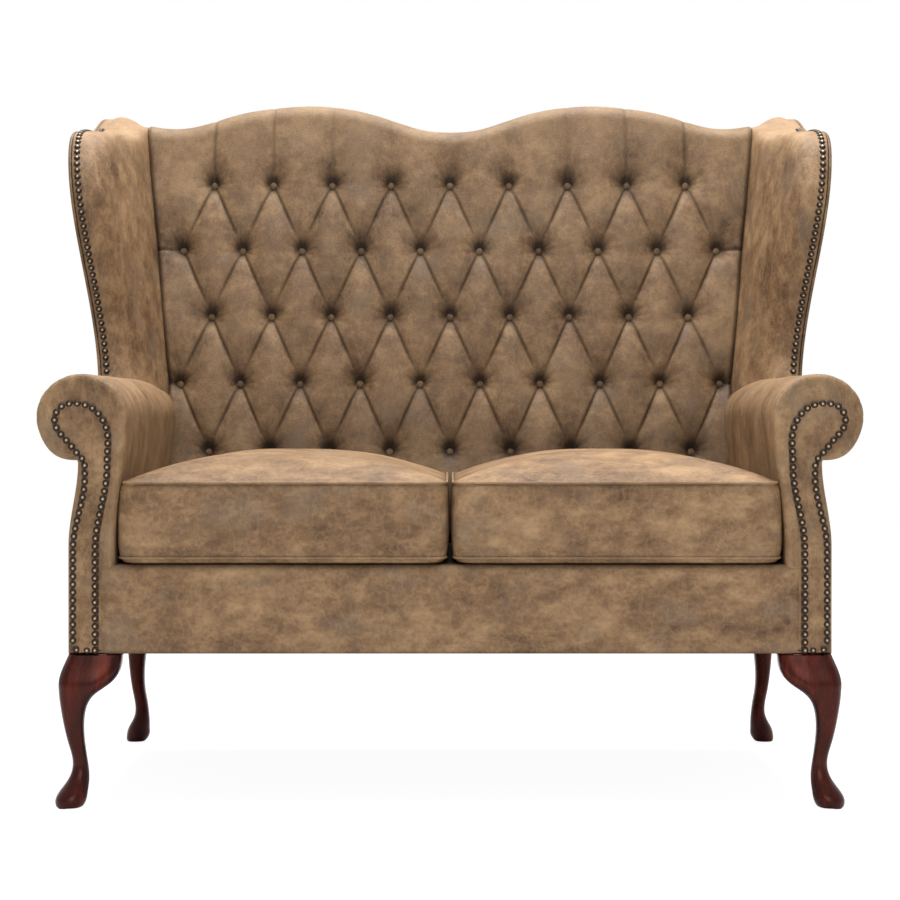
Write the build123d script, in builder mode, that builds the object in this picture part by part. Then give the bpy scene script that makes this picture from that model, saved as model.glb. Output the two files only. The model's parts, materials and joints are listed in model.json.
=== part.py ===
from build123d import *

import math
import os

# A two-seat winged sofa in leather, with a deep-buttoned back, rolled arms, two loose seat
# cushions and cabriole legs. X runs across the sofa, Y from the front to the back and Z up
# from the floor. A depth is measured back from the front face of the arms.

os.makedirs("parts", exist_ok=True)

# Layout
FRONT_Y = -378.0
LEG_HEIGHT = 230.0
RAKE = 11.0
SEAT_LINE = 480.0
BACK_DEPTH = 616.0
GAP = 0.3

# Seat frame timber
RAIL_T = 28.0
RAIL_TOP = 336.0
RAIL_FRONT = 14.0
FRONT_POST_IN = 512.0
SIDE_IN = 538.0
SIDE_OUT = 566.0
BACK_RAIL_DEPTH = 548.0
CORNER_LEG = 90.0
CORNER_LOW = 262.0
CORNER_HIGH = 322.0

# Back frame timber, heights measured up the rake
BACK_T = 28.0
BACK_POST_IN = 508.0
BACK_POST_OUT = 552.0
BACK_POST_STEP = 560.0
BACK_POST_TOP = 1098.0
TACK_LOW = 395.0
TACK_HIGH = 445.0
TOP_RAIL_LOW = 1035.0
STILE_X = 187.25
STILE_W = 36.0

# Fasteners
REAR_DOWEL_X = 545.0
DOWEL_R = 5.0
DOWEL_LENGTH = 40.0
DOWEL_ROOM = 0.05
SCREW_R = 2.25
SCREW_HEAD_R = 4.5
SCREW_HEAD_H = 4.0
SCREW_LENGTH = 58.0
SCREW_REACH = 22.0
SCREW_RUN = 40.0
BOLT_R = 4.0
BOLT_HALF = 26.0
BOLT_ROOM = 0.1
BOLT_IN = 23.5
BOLT_BACK = 26.0
REAR_BOLT_IN = 11.0
REAR_BOLT_FORE = 30.0

# Arms
ARM_OUT = 574.5
ARM_IN = 504.0
ARM_NECK = ARM_OUT - 15.5
ARM_SWELL = 392.0
ROLL_X = ARM_OUT - 20.0
ROLL_Z = 586.5
ROLL_RX = 68.0
ROLL_RZ = 64.5
ARM_SKIN = 5.0
ARM_POST_INSET = 8.0
ARM_RAIL_X = ROLL_X + 5.5
ARM_RAIL_W = 45.0
ARM_RAIL_LOW = 572.0
ARM_RAIL_HIGH = 602.0
FACING_T = 3.0

# Wings
WING_X = 607.0
WING_Z = 665.0
WING_FRONT = 400.0
WING_TOE = 4.0
WING_FLARE = 6.9
WING_IN_X = 560.0
WING_IN_Z = 705.0
WING_IN_TOE = 13.5
WING_SKIN = 5.0
WING_BOARD_T = 22.0
WING_WRAP = 22.0
WING_ROUND = 20.0
WING_NAIL_IN = 16.0

# Tufted back
SEAM_X = 500.0
SEAM_Z = 640.0
SEAM_FLARE = 6.2
STRAP_T = 2.0
STRAP_W = 50.0
CROSS_STRAP_W = 40.0
HESSIAN_T = 1.0
FOAM_T = 35.0
COVER_T = 36.0
COVER_LOW = 374.0
BUTTON_PITCH = 107.0
BUTTON_COLUMNS = 9
BUTTON_ROWS = 5
ROW_PITCH = 122.7
ROW_LOW = 523.0
TUFT_DEPTH = 25.0
PLEAT_DEPTH = 15.0
SEAM_DEPTH = 22.0
PINCH = 0.08
TOP_DIP = 1121.0
TOP_HUMP = 1169.0
TOP_SHOULDER = 1153.0
TOP_END_DIP = 1127.0
TOP_END = 1142.0
TOP_WRAP = 22.0
TOP_ROUND = 30.0
BUTTON_R = 8.6
BUTTON_H = 6.0
TIE_R = 1.2
TIE_HOLE_R = 1.6
FOAM_HOLE_R = 10.0
WASHER_R = 7.0
PANEL_T = 6.0

# Seat
BORDER_FRONT = 2.0
BORDER_TOP = 364.0
LIP_LOW = 349.0
LIP_DEPTH = 60.0
BORDER_HALF = 530.0
DECK_LOW = 344.3
DECK_REAR = 550.0
SPRING_Z = 342.0
SPRING_R = 2.0
SPRING_COUNT = 8
SPRING_PITCH = 125.0
SPRING_RUNS = 26
SPRING_STRAIGHT = 14.0
SPRING_START = 28.0
SPRING_END = 566.0
CLIP_SIZE = 20.0
CLIP_TOP = 348.0
TIE_WIRE_R = 1.0

# Cushions
CUSHION_LOW = 364.4
CUSHION_TOP = 533.0
CUSHION_SEAM = 487.0
CUSHION_FRONT = -2.0
CUSHION_REAR = 514.0
CUSHION_OUT = 498.0
CUSHION_MID = 1.5
CUSHION_DRAW = 4.0
CUSHION_CORNER = 34.0
COVER_SKIN = 5.0

# Nails, brackets and glides
NAIL_R = 5.6
NAIL_H = 3.2
NAIL_SHANK_R = 0.9
NAIL_SHANK = 12.0
NAIL_PITCH = 12.0
BRACKET_T = 30.0
BRACKET_REACH = 73.0
BRACKET_END_Z = 212.0
BRACKET_LOW = 165.0
GLIDE_R = 8.0
GLIDE_H = 2.0
GLIDE_OUT = 4.0
REAR_GLIDE_OUT = 19.0
REAR_GLIDE_BACK = 16.5

rake = math.radians(RAKE)
lean = math.tan(rake)
half_pitch = BUTTON_PITCH / 2
foam_back = 2 * STRAP_T + HESSIAN_T
foam_front = foam_back + FOAM_T
crown = foam_front + COVER_T
seam_slope = math.tan(math.radians(SEAM_FLARE))


def depth(amount):
    """Give the Y of a depth behind the front face of the arms."""
    return FRONT_Y + amount


def front_plane(amount):
    """Give the plane that faces the front at a depth."""
    return Plane.XZ.offset(-depth(amount))


def back_depth(height, forward):
    """Give the depth of the raked back at a height, a distance forward of its frame."""
    return BACK_DEPTH + (height - SEAT_LINE) * lean - forward / math.cos(rake)


back_face = Plane(
    origin=(0, depth(BACK_DEPTH - SEAT_LINE * lean), 0),
    x_dir=(1, 0, 0),
    z_dir=(0, -math.cos(rake), math.sin(rake)),
)


def up(height):
    """Give the distance up the rake of a height on the face of the back frame."""
    return height / math.cos(rake)


def back_point(x, along, forward):
    """Give the place of a point on the raked back."""
    return back_face.from_local_coords((x, along, forward))


def wing_plane(toe, x, z):
    """Give a plane of the right wing, facing outward."""
    turn = math.radians(toe)
    flare = math.tan(math.radians(WING_FLARE))
    return Plane(
        origin=(x, depth(WING_FRONT), z),
        x_dir=(math.sin(turn), -math.cos(turn), 0),
        z_dir=(math.cos(turn), math.sin(turn), -flare * math.cos(turn)),
    )


wing_outer = wing_plane(WING_TOE, WING_X, WING_Z)
wing_inner = wing_plane(WING_IN_TOE, WING_IN_X, WING_IN_Z)
seam_plane = Plane(origin=(SEAM_X + GAP, 0, SEAM_Z), x_dir=(0, 1, 0), z_dir=(1, 0, -seam_slope))


def wing_x(inset, y, z):
    """Give the X at a Y and a Z on the plane set in from the wing's outer face."""
    plane = wing_outer.offset(-inset)
    reach = plane.origin - Vector(0, y, z)
    return plane.z_dir.dot(reach) / plane.z_dir.X


def post_inner(along):
    """Give the X of the back post's inner edge at a distance up the rake."""
    return BACK_POST_IN + max(0.0, along - up(SEAM_Z)) * math.cos(rake) * seam_slope


def cover_half(along):
    """Give half the width of the tufted cover at a distance up the rake."""
    return SEAM_X + max(0.0, along - up(SEAM_Z)) * math.cos(rake) * seam_slope


def dome_mid(radius, height):
    """Give the middle point of a round dome's profile, out from and up its axis."""
    ball = (radius**2 + height**2) / (2 * height)
    half_turn = math.asin(radius / ball) / 2
    return ball * math.sin(half_turn), height - ball + ball * math.cos(half_turn)


def keep(part, name):
    """Label a finished piece and write it."""
    part.label = name
    export_step(part, f"parts/{name}.step")


def keep_pair(part, name):
    """Write a right-hand piece and its left-hand mirror image."""
    keep(part, f"{name}_right")
    keep(mirror(part, about=Plane.YZ), f"{name}_left")


# Dowels of the timber frame, and the bores that take them
rail_dowel_heights = (278.0, 316.0)
side_mid = (SIDE_IN + SIDE_OUT) / 2
dowel_planes = []
for side in (1, -1):
    for height in rail_dowel_heights:
        front_joint = (side * FRONT_POST_IN, depth(RAIL_FRONT + RAIL_T / 2), height)
        dowel_planes.append(Plane(origin=front_joint, z_dir=(1, 0, 0)))
        post_joint = (side * side_mid, depth(RAIL_FRONT + RAIL_T), height)
        dowel_planes.append(Plane(origin=post_joint, z_dir=(0, 1, 0)))
        rear_joint = back_point(side * REAR_DOWEL_X, up(height), 0)
        dowel_planes.append(Plane(origin=rear_joint, z_dir=back_face.z_dir))
        back_joint = (side * SIDE_IN, depth(BACK_RAIL_DEPTH + RAIL_T / 2), height)
        dowel_planes.append(Plane(origin=back_joint, z_dir=(1, 0, 0)))
    for along in (TACK_LOW + STILE_W / 3, TACK_HIGH - STILE_W / 3):
        tack_joint = back_point(side * BACK_POST_IN, along, -BACK_T / 2)
        dowel_planes.append(Plane(origin=tack_joint, z_dir=(1, 0, 0)))
    for along in (TOP_RAIL_LOW + STILE_W / 3, BACK_POST_TOP - STILE_W / 2):
        top_joint = back_point(side * post_inner(along), along, -BACK_T / 2)
        dowel_planes.append(Plane(origin=top_joint, z_dir=(1, 0, 0)))
    for along in (TACK_HIGH, TOP_RAIL_LOW):
        stile_joint = back_point(side * STILE_X, along, -BACK_T / 2)
        dowel_planes.append(Plane(origin=stile_joint, z_dir=back_face.y_dir))
    arm_z = (ARM_RAIL_LOW + ARM_RAIL_HIGH) / 2
    arm_front_joint = (side * ARM_RAIL_X, depth(RAIL_FRONT + RAIL_T), arm_z)
    dowel_planes.append(Plane(origin=arm_front_joint, z_dir=(0, 1, 0)))
    arm_rear_joint = back_point(side * REAR_DOWEL_X, up(arm_z), 0)
    dowel_planes.append(Plane(origin=arm_rear_joint, z_dir=back_face.z_dir))

with BuildPart() as frame_dowels:
    with Locations(*dowel_planes):
        Cylinder(DOWEL_R, DOWEL_LENGTH)
keep(frame_dowels.part, "frame_dowels")

with BuildPart() as dowel_bores:
    with Locations(*dowel_planes):
        Cylinder(DOWEL_R + DOWEL_ROOM, DOWEL_LENGTH + 2 * DOWEL_ROOM)

# Leg bolts, one in each leg and the post above it
front_bolt = (ARM_OUT - BOLT_IN, depth(BOLT_BACK), LEG_HEIGHT)
rear_bolt = (BACK_POST_OUT - REAR_BOLT_IN, depth(BACK_DEPTH - REAR_BOLT_FORE), LEG_HEIGHT)
bolt_points = [(side * x, y, z) for x, y, z in (front_bolt, rear_bolt) for side in (1, -1)]
with BuildPart() as leg_bolts:
    with Locations(*bolt_points):
        Cylinder(BOLT_R, 2 * BOLT_HALF)
keep(leg_bolts.part, "leg_bolts")

with BuildPart() as bolt_bores:
    with Locations(*bolt_points):
        Cylinder(BOLT_R + BOLT_ROOM, 2 * BOLT_HALF + 2 * BOLT_ROOM)

# Seat rails
rail_height = RAIL_TOP - LEG_HEIGHT
rail_mid = (RAIL_TOP + LEG_HEIGHT) / 2
with BuildPart() as front_rail:
    with Locations((0, depth(RAIL_FRONT + RAIL_T / 2), rail_mid)):
        Box(2 * FRONT_POST_IN, RAIL_T, rail_height)
    add(dowel_bores.part, mode=Mode.SUBTRACT)
keep(front_rail.part, "front_rail")

with BuildPart() as back_rail:
    with BuildSketch(Plane.XY.offset(LEG_HEIGHT)):
        with Locations((0, depth(BACK_RAIL_DEPTH + RAIL_T))):
            Rectangle(2 * SIDE_IN, 2 * RAIL_T)
    extrude(amount=rail_height)
    split(bisect_by=back_face, keep=Keep.TOP)
    add(dowel_bores.part, mode=Mode.SUBTRACT)
keep(back_rail.part, "back_rail")

side_front = RAIL_FRONT + RAIL_T
with BuildPart() as side_rail:
    with BuildSketch(Plane.XY.offset(LEG_HEIGHT)):
        with Locations((side_mid, depth((side_front + BACK_DEPTH) / 2))):
            Rectangle(SIDE_OUT - SIDE_IN, BACK_DEPTH - side_front)
    extrude(amount=rail_height)
    split(bisect_by=back_face, keep=Keep.TOP)
    add(dowel_bores.part, mode=Mode.SUBTRACT)
keep_pair(side_rail.part, "side_rail")


# Scroll outline of the arm seen from the front
def arm_face(inset, plane):
    """Draw the right arm's scroll outline on a plane, set in by an amount."""
    outer = ARM_OUT - inset
    inner = ARM_IN + inset
    neck = ARM_NECK - inset
    radius_x = ROLL_RX - inset
    radius_z = ROLL_RZ - inset
    turn = math.degrees(math.acos((neck - ROLL_X) / radius_x))
    neck_z = ROLL_Z - radius_z * math.sin(math.radians(turn))
    with BuildSketch(plane) as sketch:
        with BuildLine():
            Line((inner, LEG_HEIGHT), (outer, LEG_HEIGHT))
            Line((outer, LEG_HEIGHT), (outer, ARM_SWELL))
            Spline((outer, ARM_SWELL), (neck, neck_z), tangents=((0, 1), (0, 1)))
            EllipticalCenterArc(
                (ROLL_X, ROLL_Z), radius_x, radius_z, start_angle=-turn, arc_size=180 + turn
            )
            Spline((ROLL_X - radius_x, ROLL_Z), (inner, ARM_SWELL), tangents=((0, -1), (0, -1)))
            Line((inner, ARM_SWELL), (inner, LEG_HEIGHT))
        make_face()
    return sketch.sketch


with BuildPart() as arm_post:
    extrude(arm_face(ARM_POST_INSET, front_plane(RAIL_FRONT)), amount=-RAIL_T)
    add(dowel_bores.part, mode=Mode.SUBTRACT)
    add(bolt_bores.part, mode=Mode.SUBTRACT)
keep_pair(arm_post.part, "arm_post")

with BuildPart() as arm_rail:
    with BuildSketch(front_plane(side_front)):
        with Locations((ARM_RAIL_X, (ARM_RAIL_LOW + ARM_RAIL_HIGH) / 2)):
            Rectangle(ARM_RAIL_W, ARM_RAIL_HIGH - ARM_RAIL_LOW)
    extrude(amount=-(BACK_DEPTH + RAIL_T - side_front))
    split(bisect_by=back_face, keep=Keep.TOP)
    add(dowel_bores.part, mode=Mode.SUBTRACT)
keep_pair(arm_rail.part, "arm_rail")


# Side outline of the wing
WING_LOW = ARM_RAIL_HIGH
WING_HIGH = 1136.0


def draw_wing_edge(inset, forward):
    """Draw the front and top edge of the wing in the plane that is open."""
    high = WING_HIGH - inset
    Spline(
        (depth(404 + inset), WING_LOW),
        (depth(432 + inset), 800),
        (depth(400 + inset), 995 - 0.2 * inset),
        (depth(440 + 0.6 * inset), 1062 - 0.8 * inset),
        (depth(590), 1092 - inset),
        (depth(700), 1129 - inset),
        (depth(back_depth(high, forward)), high),
    )


def wing_face(inset, plane, forward):
    """Draw the wing's side outline, set in by an amount, back to a distance off the back frame."""
    high = WING_HIGH - inset
    with BuildSketch(plane) as sketch:
        with BuildLine():
            draw_wing_edge(inset, forward)
            Polyline(
                (depth(back_depth(high, forward)), high),
                (depth(back_depth(WING_LOW, forward)), WING_LOW),
                (depth(404 + inset), WING_LOW),
            )
        make_face()
    return sketch.sketch


wing_span = Plane.YZ.offset(SEAM_X - ARM_RAIL_W)
wing_reach = 5 * ARM_RAIL_W
board_in = WING_SKIN + WING_BOARD_T

with BuildPart() as wing_board:
    extrude(wing_face(WING_WRAP, wing_span, -BACK_T), amount=wing_reach)
    split(bisect_by=wing_outer.offset(-WING_SKIN), keep=Keep.BOTTOM)
    split(bisect_by=wing_outer.offset(-board_in), keep=Keep.TOP)
keep_pair(wing_board.part, "wing_board")

# Back posts, straight up to the arm and then flared along the wing board
post_low = up(LEG_HEIGHT)
post_step = up(BACK_POST_STEP)
with BuildPart() as back_post:
    with BuildSketch(back_face):
        with BuildLine():
            Polyline(
                (BACK_POST_IN, post_step),
                (post_inner(up(SEAM_Z)), up(SEAM_Z)),
                (post_inner(BACK_POST_TOP), BACK_POST_TOP),
                (WING_X + WING_BOARD_T, BACK_POST_TOP),
                (WING_X + WING_BOARD_T, post_step),
                close=True,
            )
        make_face()
    extrude(amount=-BACK_T)
    split(bisect_by=wing_outer.offset(-board_in), keep=Keep.BOTTOM)
    with BuildSketch(back_face):
        with Locations(((BACK_POST_IN + BACK_POST_OUT) / 2, post_step / 2)):
            Rectangle(BACK_POST_OUT - BACK_POST_IN, post_step)
    extrude(amount=-BACK_T)
    split(bisect_by=Plane.XY.offset(LEG_HEIGHT), keep=Keep.TOP)
    add(dowel_bores.part, mode=Mode.SUBTRACT)
    add(bolt_bores.part, mode=Mode.SUBTRACT)
keep_pair(back_post.part, "back_post")


# Double-humped top of the back
def top_points(drop):
    """Give the points along the top of the back, lowered by an amount."""
    half = [
        (BUTTON_PITCH * 1.25, TOP_SHOULDER - drop),
        (BUTTON_PITCH * 2.45, TOP_HUMP - drop),
        (BUTTON_PITCH * 4.7, TOP_END_DIP - drop),
        (BUTTON_PITCH * 5.5, TOP_END - drop),
        (BUTTON_PITCH * 6.5, TOP_END - drop),
    ]
    left = [(-x, along) for x, along in reversed(half)]
    return left + [(0, TOP_DIP - drop)] + half


def sides(low, half_width):
    """Give the points up the right side of the back, from a low edge past its top."""
    alongs = (low, up(SEAM_Z), TOP_HUMP + TOP_WRAP)
    return [(half_width(along), along) for along in alongs if along >= low]


def below_top(drop, right, plane=back_face):
    """Draw the part of the back below its top line, between its two sides."""
    points = top_points(drop)
    left = [(-x, along) for x, along in reversed(right)]
    head = 2 * TOP_HUMP
    with BuildSketch(plane) as sketch:
        with BuildLine():
            Polyline(*right, *left, close=True)
        make_face()
        with BuildLine():
            Spline(*points)
            Polyline(points[-1], (points[-1][0], head), (points[0][0], head), points[0])
        make_face(mode=Mode.SUBTRACT)
    return sketch.sketch


with BuildPart() as back_top_rail:
    extrude(below_top(TOP_WRAP, sides(TOP_RAIL_LOW, post_inner)), amount=-BACK_T)
    add(dowel_bores.part, mode=Mode.SUBTRACT)
keep(back_top_rail.part, "back_top_rail")

with BuildPart() as back_tack_rail:
    with BuildSketch(back_face):
        with Locations((0, (TACK_LOW + TACK_HIGH) / 2)):
            Rectangle(2 * BACK_POST_IN, TACK_HIGH - TACK_LOW)
    extrude(amount=-BACK_T)
    add(dowel_bores.part, mode=Mode.SUBTRACT)
keep(back_tack_rail.part, "back_tack_rail")

with BuildPart() as back_stiles:
    with BuildSketch(back_face):
        with Locations((0, (TACK_HIGH + TOP_RAIL_LOW) / 2)):
            with GridLocations(2 * STILE_X, 0, 2, 1):
                Rectangle(STILE_W, TOP_RAIL_LOW - TACK_HIGH)
    extrude(amount=-BACK_T)
    add(dowel_bores.part, mode=Mode.SUBTRACT)
keep(back_stiles.part, "back_stiles")

# Corner blocks and the screws that hold them to the rails
rear_corner = BACK_RAIL_DEPTH
corner_spots = [(side, side_front, 1) for side in (1, -1)]
corner_spots += [(side, rear_corner, -1) for side in (1, -1)]
corner_mid = (CORNER_LOW + CORNER_HIGH) / 2
with BuildPart() as corner_blocks:
    with BuildSketch(Plane.XY.offset(CORNER_LOW)):
        for side, edge, away in corner_spots:
            with BuildLine():
                Polyline(
                    (side * SIDE_IN, depth(edge)),
                    (side * (SIDE_IN - CORNER_LEG), depth(edge)),
                    (side * SIDE_IN, depth(edge + away * CORNER_LEG)),
                    close=True,
                )
            make_face()
    extrude(amount=CORNER_HIGH - CORNER_LOW)
keep(corner_blocks.part, "corner_blocks")

screw_planes = []
for side, edge, away in corner_spots:
    rest = CORNER_LEG - SCREW_RUN
    across = (side * (SIDE_IN - SCREW_RUN), depth(edge + away * rest), corner_mid)
    screw_planes.append(Plane(origin=across, z_dir=(side, 0, 0)))
    inward = (side * (SIDE_IN - rest), depth(edge + away * SCREW_RUN), corner_mid + SCREW_REACH)
    screw_planes.append(Plane(origin=inward, z_dir=(0, -away, 0)))
with BuildPart() as corner_screw:
    Cylinder(SCREW_HEAD_R, SCREW_HEAD_H, align=(Align.CENTER, Align.CENTER, Align.MIN))
    with Locations((0, 0, SCREW_HEAD_H)):
        Cylinder(SCREW_R, SCREW_LENGTH, align=(Align.CENTER, Align.CENTER, Align.MIN))
with BuildPart() as corner_screws:
    with Locations(*screw_planes):
        add(corner_screw.part)
keep(corner_screws.part, "corner_screws")

# Sinuous seat springs, their clips and the wires that tie them across
spring_step = (SPRING_END - SPRING_START) / (SPRING_RUNS - 1)
with BuildPart() as spring:
    with BuildLine(Plane.XY.offset(SPRING_Z)) as zigzag:
        for run in range(SPRING_RUNS):
            reach = SPRING_STRAIGHT if run % 2 == 0 else -SPRING_STRAIGHT
            y = depth(SPRING_START + run * spring_step)
            Line((-reach, y), (reach, y))
            if run < SPRING_RUNS - 1:
                bulge = math.copysign(SPRING_STRAIGHT + spring_step / 2, reach)
                ThreePointArc((reach, y), (bulge, y + spring_step / 2), (reach, y + spring_step))
    with BuildSketch(Plane(origin=zigzag.line @ 0, z_dir=zigzag.line % 0)):
        Circle(SPRING_R)
    sweep(path=zigzag.line)
with BuildPart() as seat_springs:
    with GridLocations(SPRING_PITCH, 0, SPRING_COUNT, 1):
        add(spring.part)
keep(seat_springs.part, "seat_springs")

with BuildPart() as spring_clips:
    for edge in (SPRING_START, SPRING_END):
        with Locations((0, depth(edge), (RAIL_TOP + CLIP_TOP) / 2)):
            with GridLocations(SPRING_PITCH, 0, SPRING_COUNT, 1):
                Box(CLIP_SIZE, CLIP_SIZE, CLIP_TOP - RAIL_TOP)
    with BuildSketch(Plane.YZ):
        with Locations((depth(SPRING_START), SPRING_Z), (depth(SPRING_END), SPRING_Z)):
            Circle(SPRING_R + BOLT_ROOM)
    extrude(amount=SPRING_COUNT * SPRING_PITCH, both=True, mode=Mode.SUBTRACT)
keep(spring_clips.part, "spring_clips")

wire_z = SPRING_Z - SPRING_R - TIE_WIRE_R - BOLT_ROOM
with BuildPart() as spring_tie_wires:
    with BuildSketch(Plane.YZ):
        for share in (1 / 3, 2 / 3):
            with Locations((depth(SPRING_START + share * (SPRING_END - SPRING_START)), wire_z)):
                Circle(TIE_WIRE_R)
    extrude(amount=SPRING_PITCH * (SPRING_COUNT - 0.5) / 2, both=True)
keep(spring_tie_wires.part, "spring_tie_wires")

with BuildPart() as seat_deck:
    with BuildSketch(Plane.XY.offset(DECK_LOW)):
        with Locations((0, depth((LIP_DEPTH + DECK_REAR) / 2))):
            Rectangle(2 * (ARM_IN - GAP), DECK_REAR - LIP_DEPTH)
    extrude(amount=BORDER_TOP - DECK_LOW)
keep(seat_deck.part, "seat_deck")

# Front border with the padded lip that turns back over the rail
with BuildPart() as front_border:
    with BuildSketch(Plane.YZ):
        with BuildLine():
            Polyline(
                (depth(BORDER_FRONT), LEG_HEIGHT),
                (depth(BORDER_FRONT), BORDER_TOP),
                (depth(LIP_DEPTH), BORDER_TOP),
                (depth(LIP_DEPTH), LIP_LOW),
                (depth(RAIL_FRONT), LIP_LOW),
                (depth(RAIL_FRONT), LEG_HEIGHT),
                close=True,
            )
        make_face()
    extrude(amount=ARM_IN - GAP, both=True)
    fillet(front_border.edges().filter_by(Axis.X).group_by(Axis.Z)[-1].sort_by(Axis.Y)[0], RAIL_FRONT / 2)
    with BuildSketch(front_plane(BORDER_FRONT)):
        with Locations((0, (LEG_HEIGHT + LIP_LOW) / 2)):
            Rectangle(2 * BORDER_HALF, LIP_LOW - LEG_HEIGHT)
    extrude(amount=-(RAIL_FRONT - BORDER_FRONT))
keep(front_border.part, "front_border")

with BuildPart() as dust_cover:
    with BuildSketch(Plane.XY.offset(LEG_HEIGHT)):
        with Locations((0, depth((RAIL_FRONT + BACK_RAIL_DEPTH + RAIL_T / 2) / 2))):
            Rectangle(2 * (SIDE_OUT - RAIL_T / 2), BACK_RAIL_DEPTH + RAIL_T / 2 - RAIL_FRONT)
            with GridLocations(2 * SIDE_OUT, BACK_RAIL_DEPTH + RAIL_T / 2 - RAIL_FRONT, 2, 2):
                Rectangle(2 * CORNER_LEG, 2 * CORNER_LEG, mode=Mode.SUBTRACT)
    extrude(amount=-HESSIAN_T)
keep(dust_cover.part, "dust_cover")

# Places of the buttons on the raked back, in rows that alternate by half a pitch
row_alongs = [ROW_LOW + row * ROW_PITCH for row in range(BUTTON_ROWS)]
button_spots = []
for row, along in enumerate(row_alongs):
    columns = BUTTON_COLUMNS + row % 2
    for column in range(columns):
        button_spots.append(((column - (columns - 1) / 2) * BUTTON_PITCH, along))

# Webbing across the back frame, and hessian over it
cross_spots = [(step * half_pitch, 0) for step in (-7.5, -4.5, -1.5, 1.5, 4.5, 7.5)]
strap_mid = (TACK_LOW + TOP_RAIL_LOW + STRAP_W) / 2
with BuildPart() as back_webbing:
    with BuildSketch(back_face):
        for along in row_alongs:
            with Locations((0, along)):
                Rectangle(2 * (post_inner(along) + STRAP_W / 2), STRAP_W)
    extrude(amount=STRAP_T)
    with BuildSketch(back_face.offset(STRAP_T)):
        for x, _ in cross_spots:
            with Locations((x, strap_mid)):
                Rectangle(CROSS_STRAP_W, TOP_RAIL_LOW + STRAP_W - TACK_LOW)
    extrude(amount=STRAP_T)
    with BuildSketch(back_face):
        with Locations(*button_spots):
            Circle(TIE_HOLE_R)
    extrude(amount=2 * STRAP_T, mode=Mode.SUBTRACT)
keep(back_webbing.part, "back_webbing")


def inside_seam(along):
    """Give half the width of a layer that ends just inside the wing seam."""
    return cover_half(along) - GAP


with BuildPart() as back_hessian:
    extrude(below_top(2 * TOP_WRAP, sides(TACK_LOW, inside_seam)), amount=foam_back)
    split(bisect_by=back_face.offset(2 * STRAP_T), keep=Keep.TOP)
    with BuildSketch(back_face):
        with Locations(*button_spots):
            Circle(TIE_HOLE_R)
    extrude(amount=foam_back, mode=Mode.SUBTRACT)
keep(back_hessian.part, "back_hessian")

with BuildPart() as back_foam:
    extrude(below_top(TOP_WRAP, sides(COVER_LOW, inside_seam)), amount=foam_front)
    split(bisect_by=back_face.offset(foam_back), keep=Keep.TOP)
    with BuildSketch(back_face):
        with Locations(*button_spots):
            Circle(FOAM_HOLE_R)
    extrude(amount=foam_front, mode=Mode.SUBTRACT)
keep(back_foam.part, "back_foam")


# Tufted cover: arcs between the pleats, lofted from row to row
def tuft_section(along, spread):
    """Draw the cover's section across the back, with its pleats spread from the buttons."""
    columns = [step - (BUTTON_COLUMNS - 1) / 2 for step in range(BUTTON_COLUMNS)]
    pleats = sorted(
        column * BUTTON_PITCH + way * spread * half_pitch for column in columns for way in (-1, 1)
    )
    near = abs(2 * spread - 1) ** 2
    low = COVER_T - PLEAT_DEPTH - (TUFT_DEPTH - PLEAT_DEPTH) * near
    half = inside_seam(along)
    stops = [(-half, COVER_T - SEAM_DEPTH)]
    stops += [(x, low) for x in pleats]
    stops += [(half, COVER_T - SEAM_DEPTH)]
    origin = back_point(0, along, foam_front)
    with BuildSketch(Plane(origin=origin, x_dir=(1, 0, 0), z_dir=back_face.y_dir)) as sketch:
        with BuildLine():
            Line((-half, 0), (-half, -stops[0][1]))
            for (x0, n0), (x1, n1) in zip(stops, stops[1:]):
                floor = (n0 + n1) / 2
                puff = min(1.0, (x1 - x0) / BUTTON_PITCH) ** 0.8
                top = floor + (COVER_T - floor) * puff
                ThreePointArc((x0, -n0), ((x0 + x1) / 2, -top), (x1, -n1))
            Line((half, -stops[-1][1]), (half, 0))
            Line((half, 0), (-half, 0))
        make_face()
    return sketch.sketch


sections = [(COVER_LOW, PINCH)]
for row, along in enumerate(row_alongs):
    here = PINCH if row % 2 == 0 else 1 - PINCH
    sections.append((along, here))
    if row < BUTTON_ROWS - 1:
        for share in (0.25, 0.5, 0.75):
            spread = share if row % 2 == 0 else 1 - share
            sections.append((along + share * ROW_PITCH, spread))
sections.append((TOP_HUMP + TOP_WRAP, PINCH))

well_floor = COVER_T - TUFT_DEPTH - STRAP_T
with BuildPart() as button_wells:
    with BuildSketch(back_face.offset(foam_front + well_floor)):
        with Locations(*button_spots):
            Circle(BUTTON_R + GAP)
    extrude(amount=COVER_T)
    with BuildSketch(back_face.offset(foam_front - STRAP_T)):
        with Locations(*button_spots):
            Circle(TIE_HOLE_R)
    extrude(amount=well_floor + 2 * STRAP_T)

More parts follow.
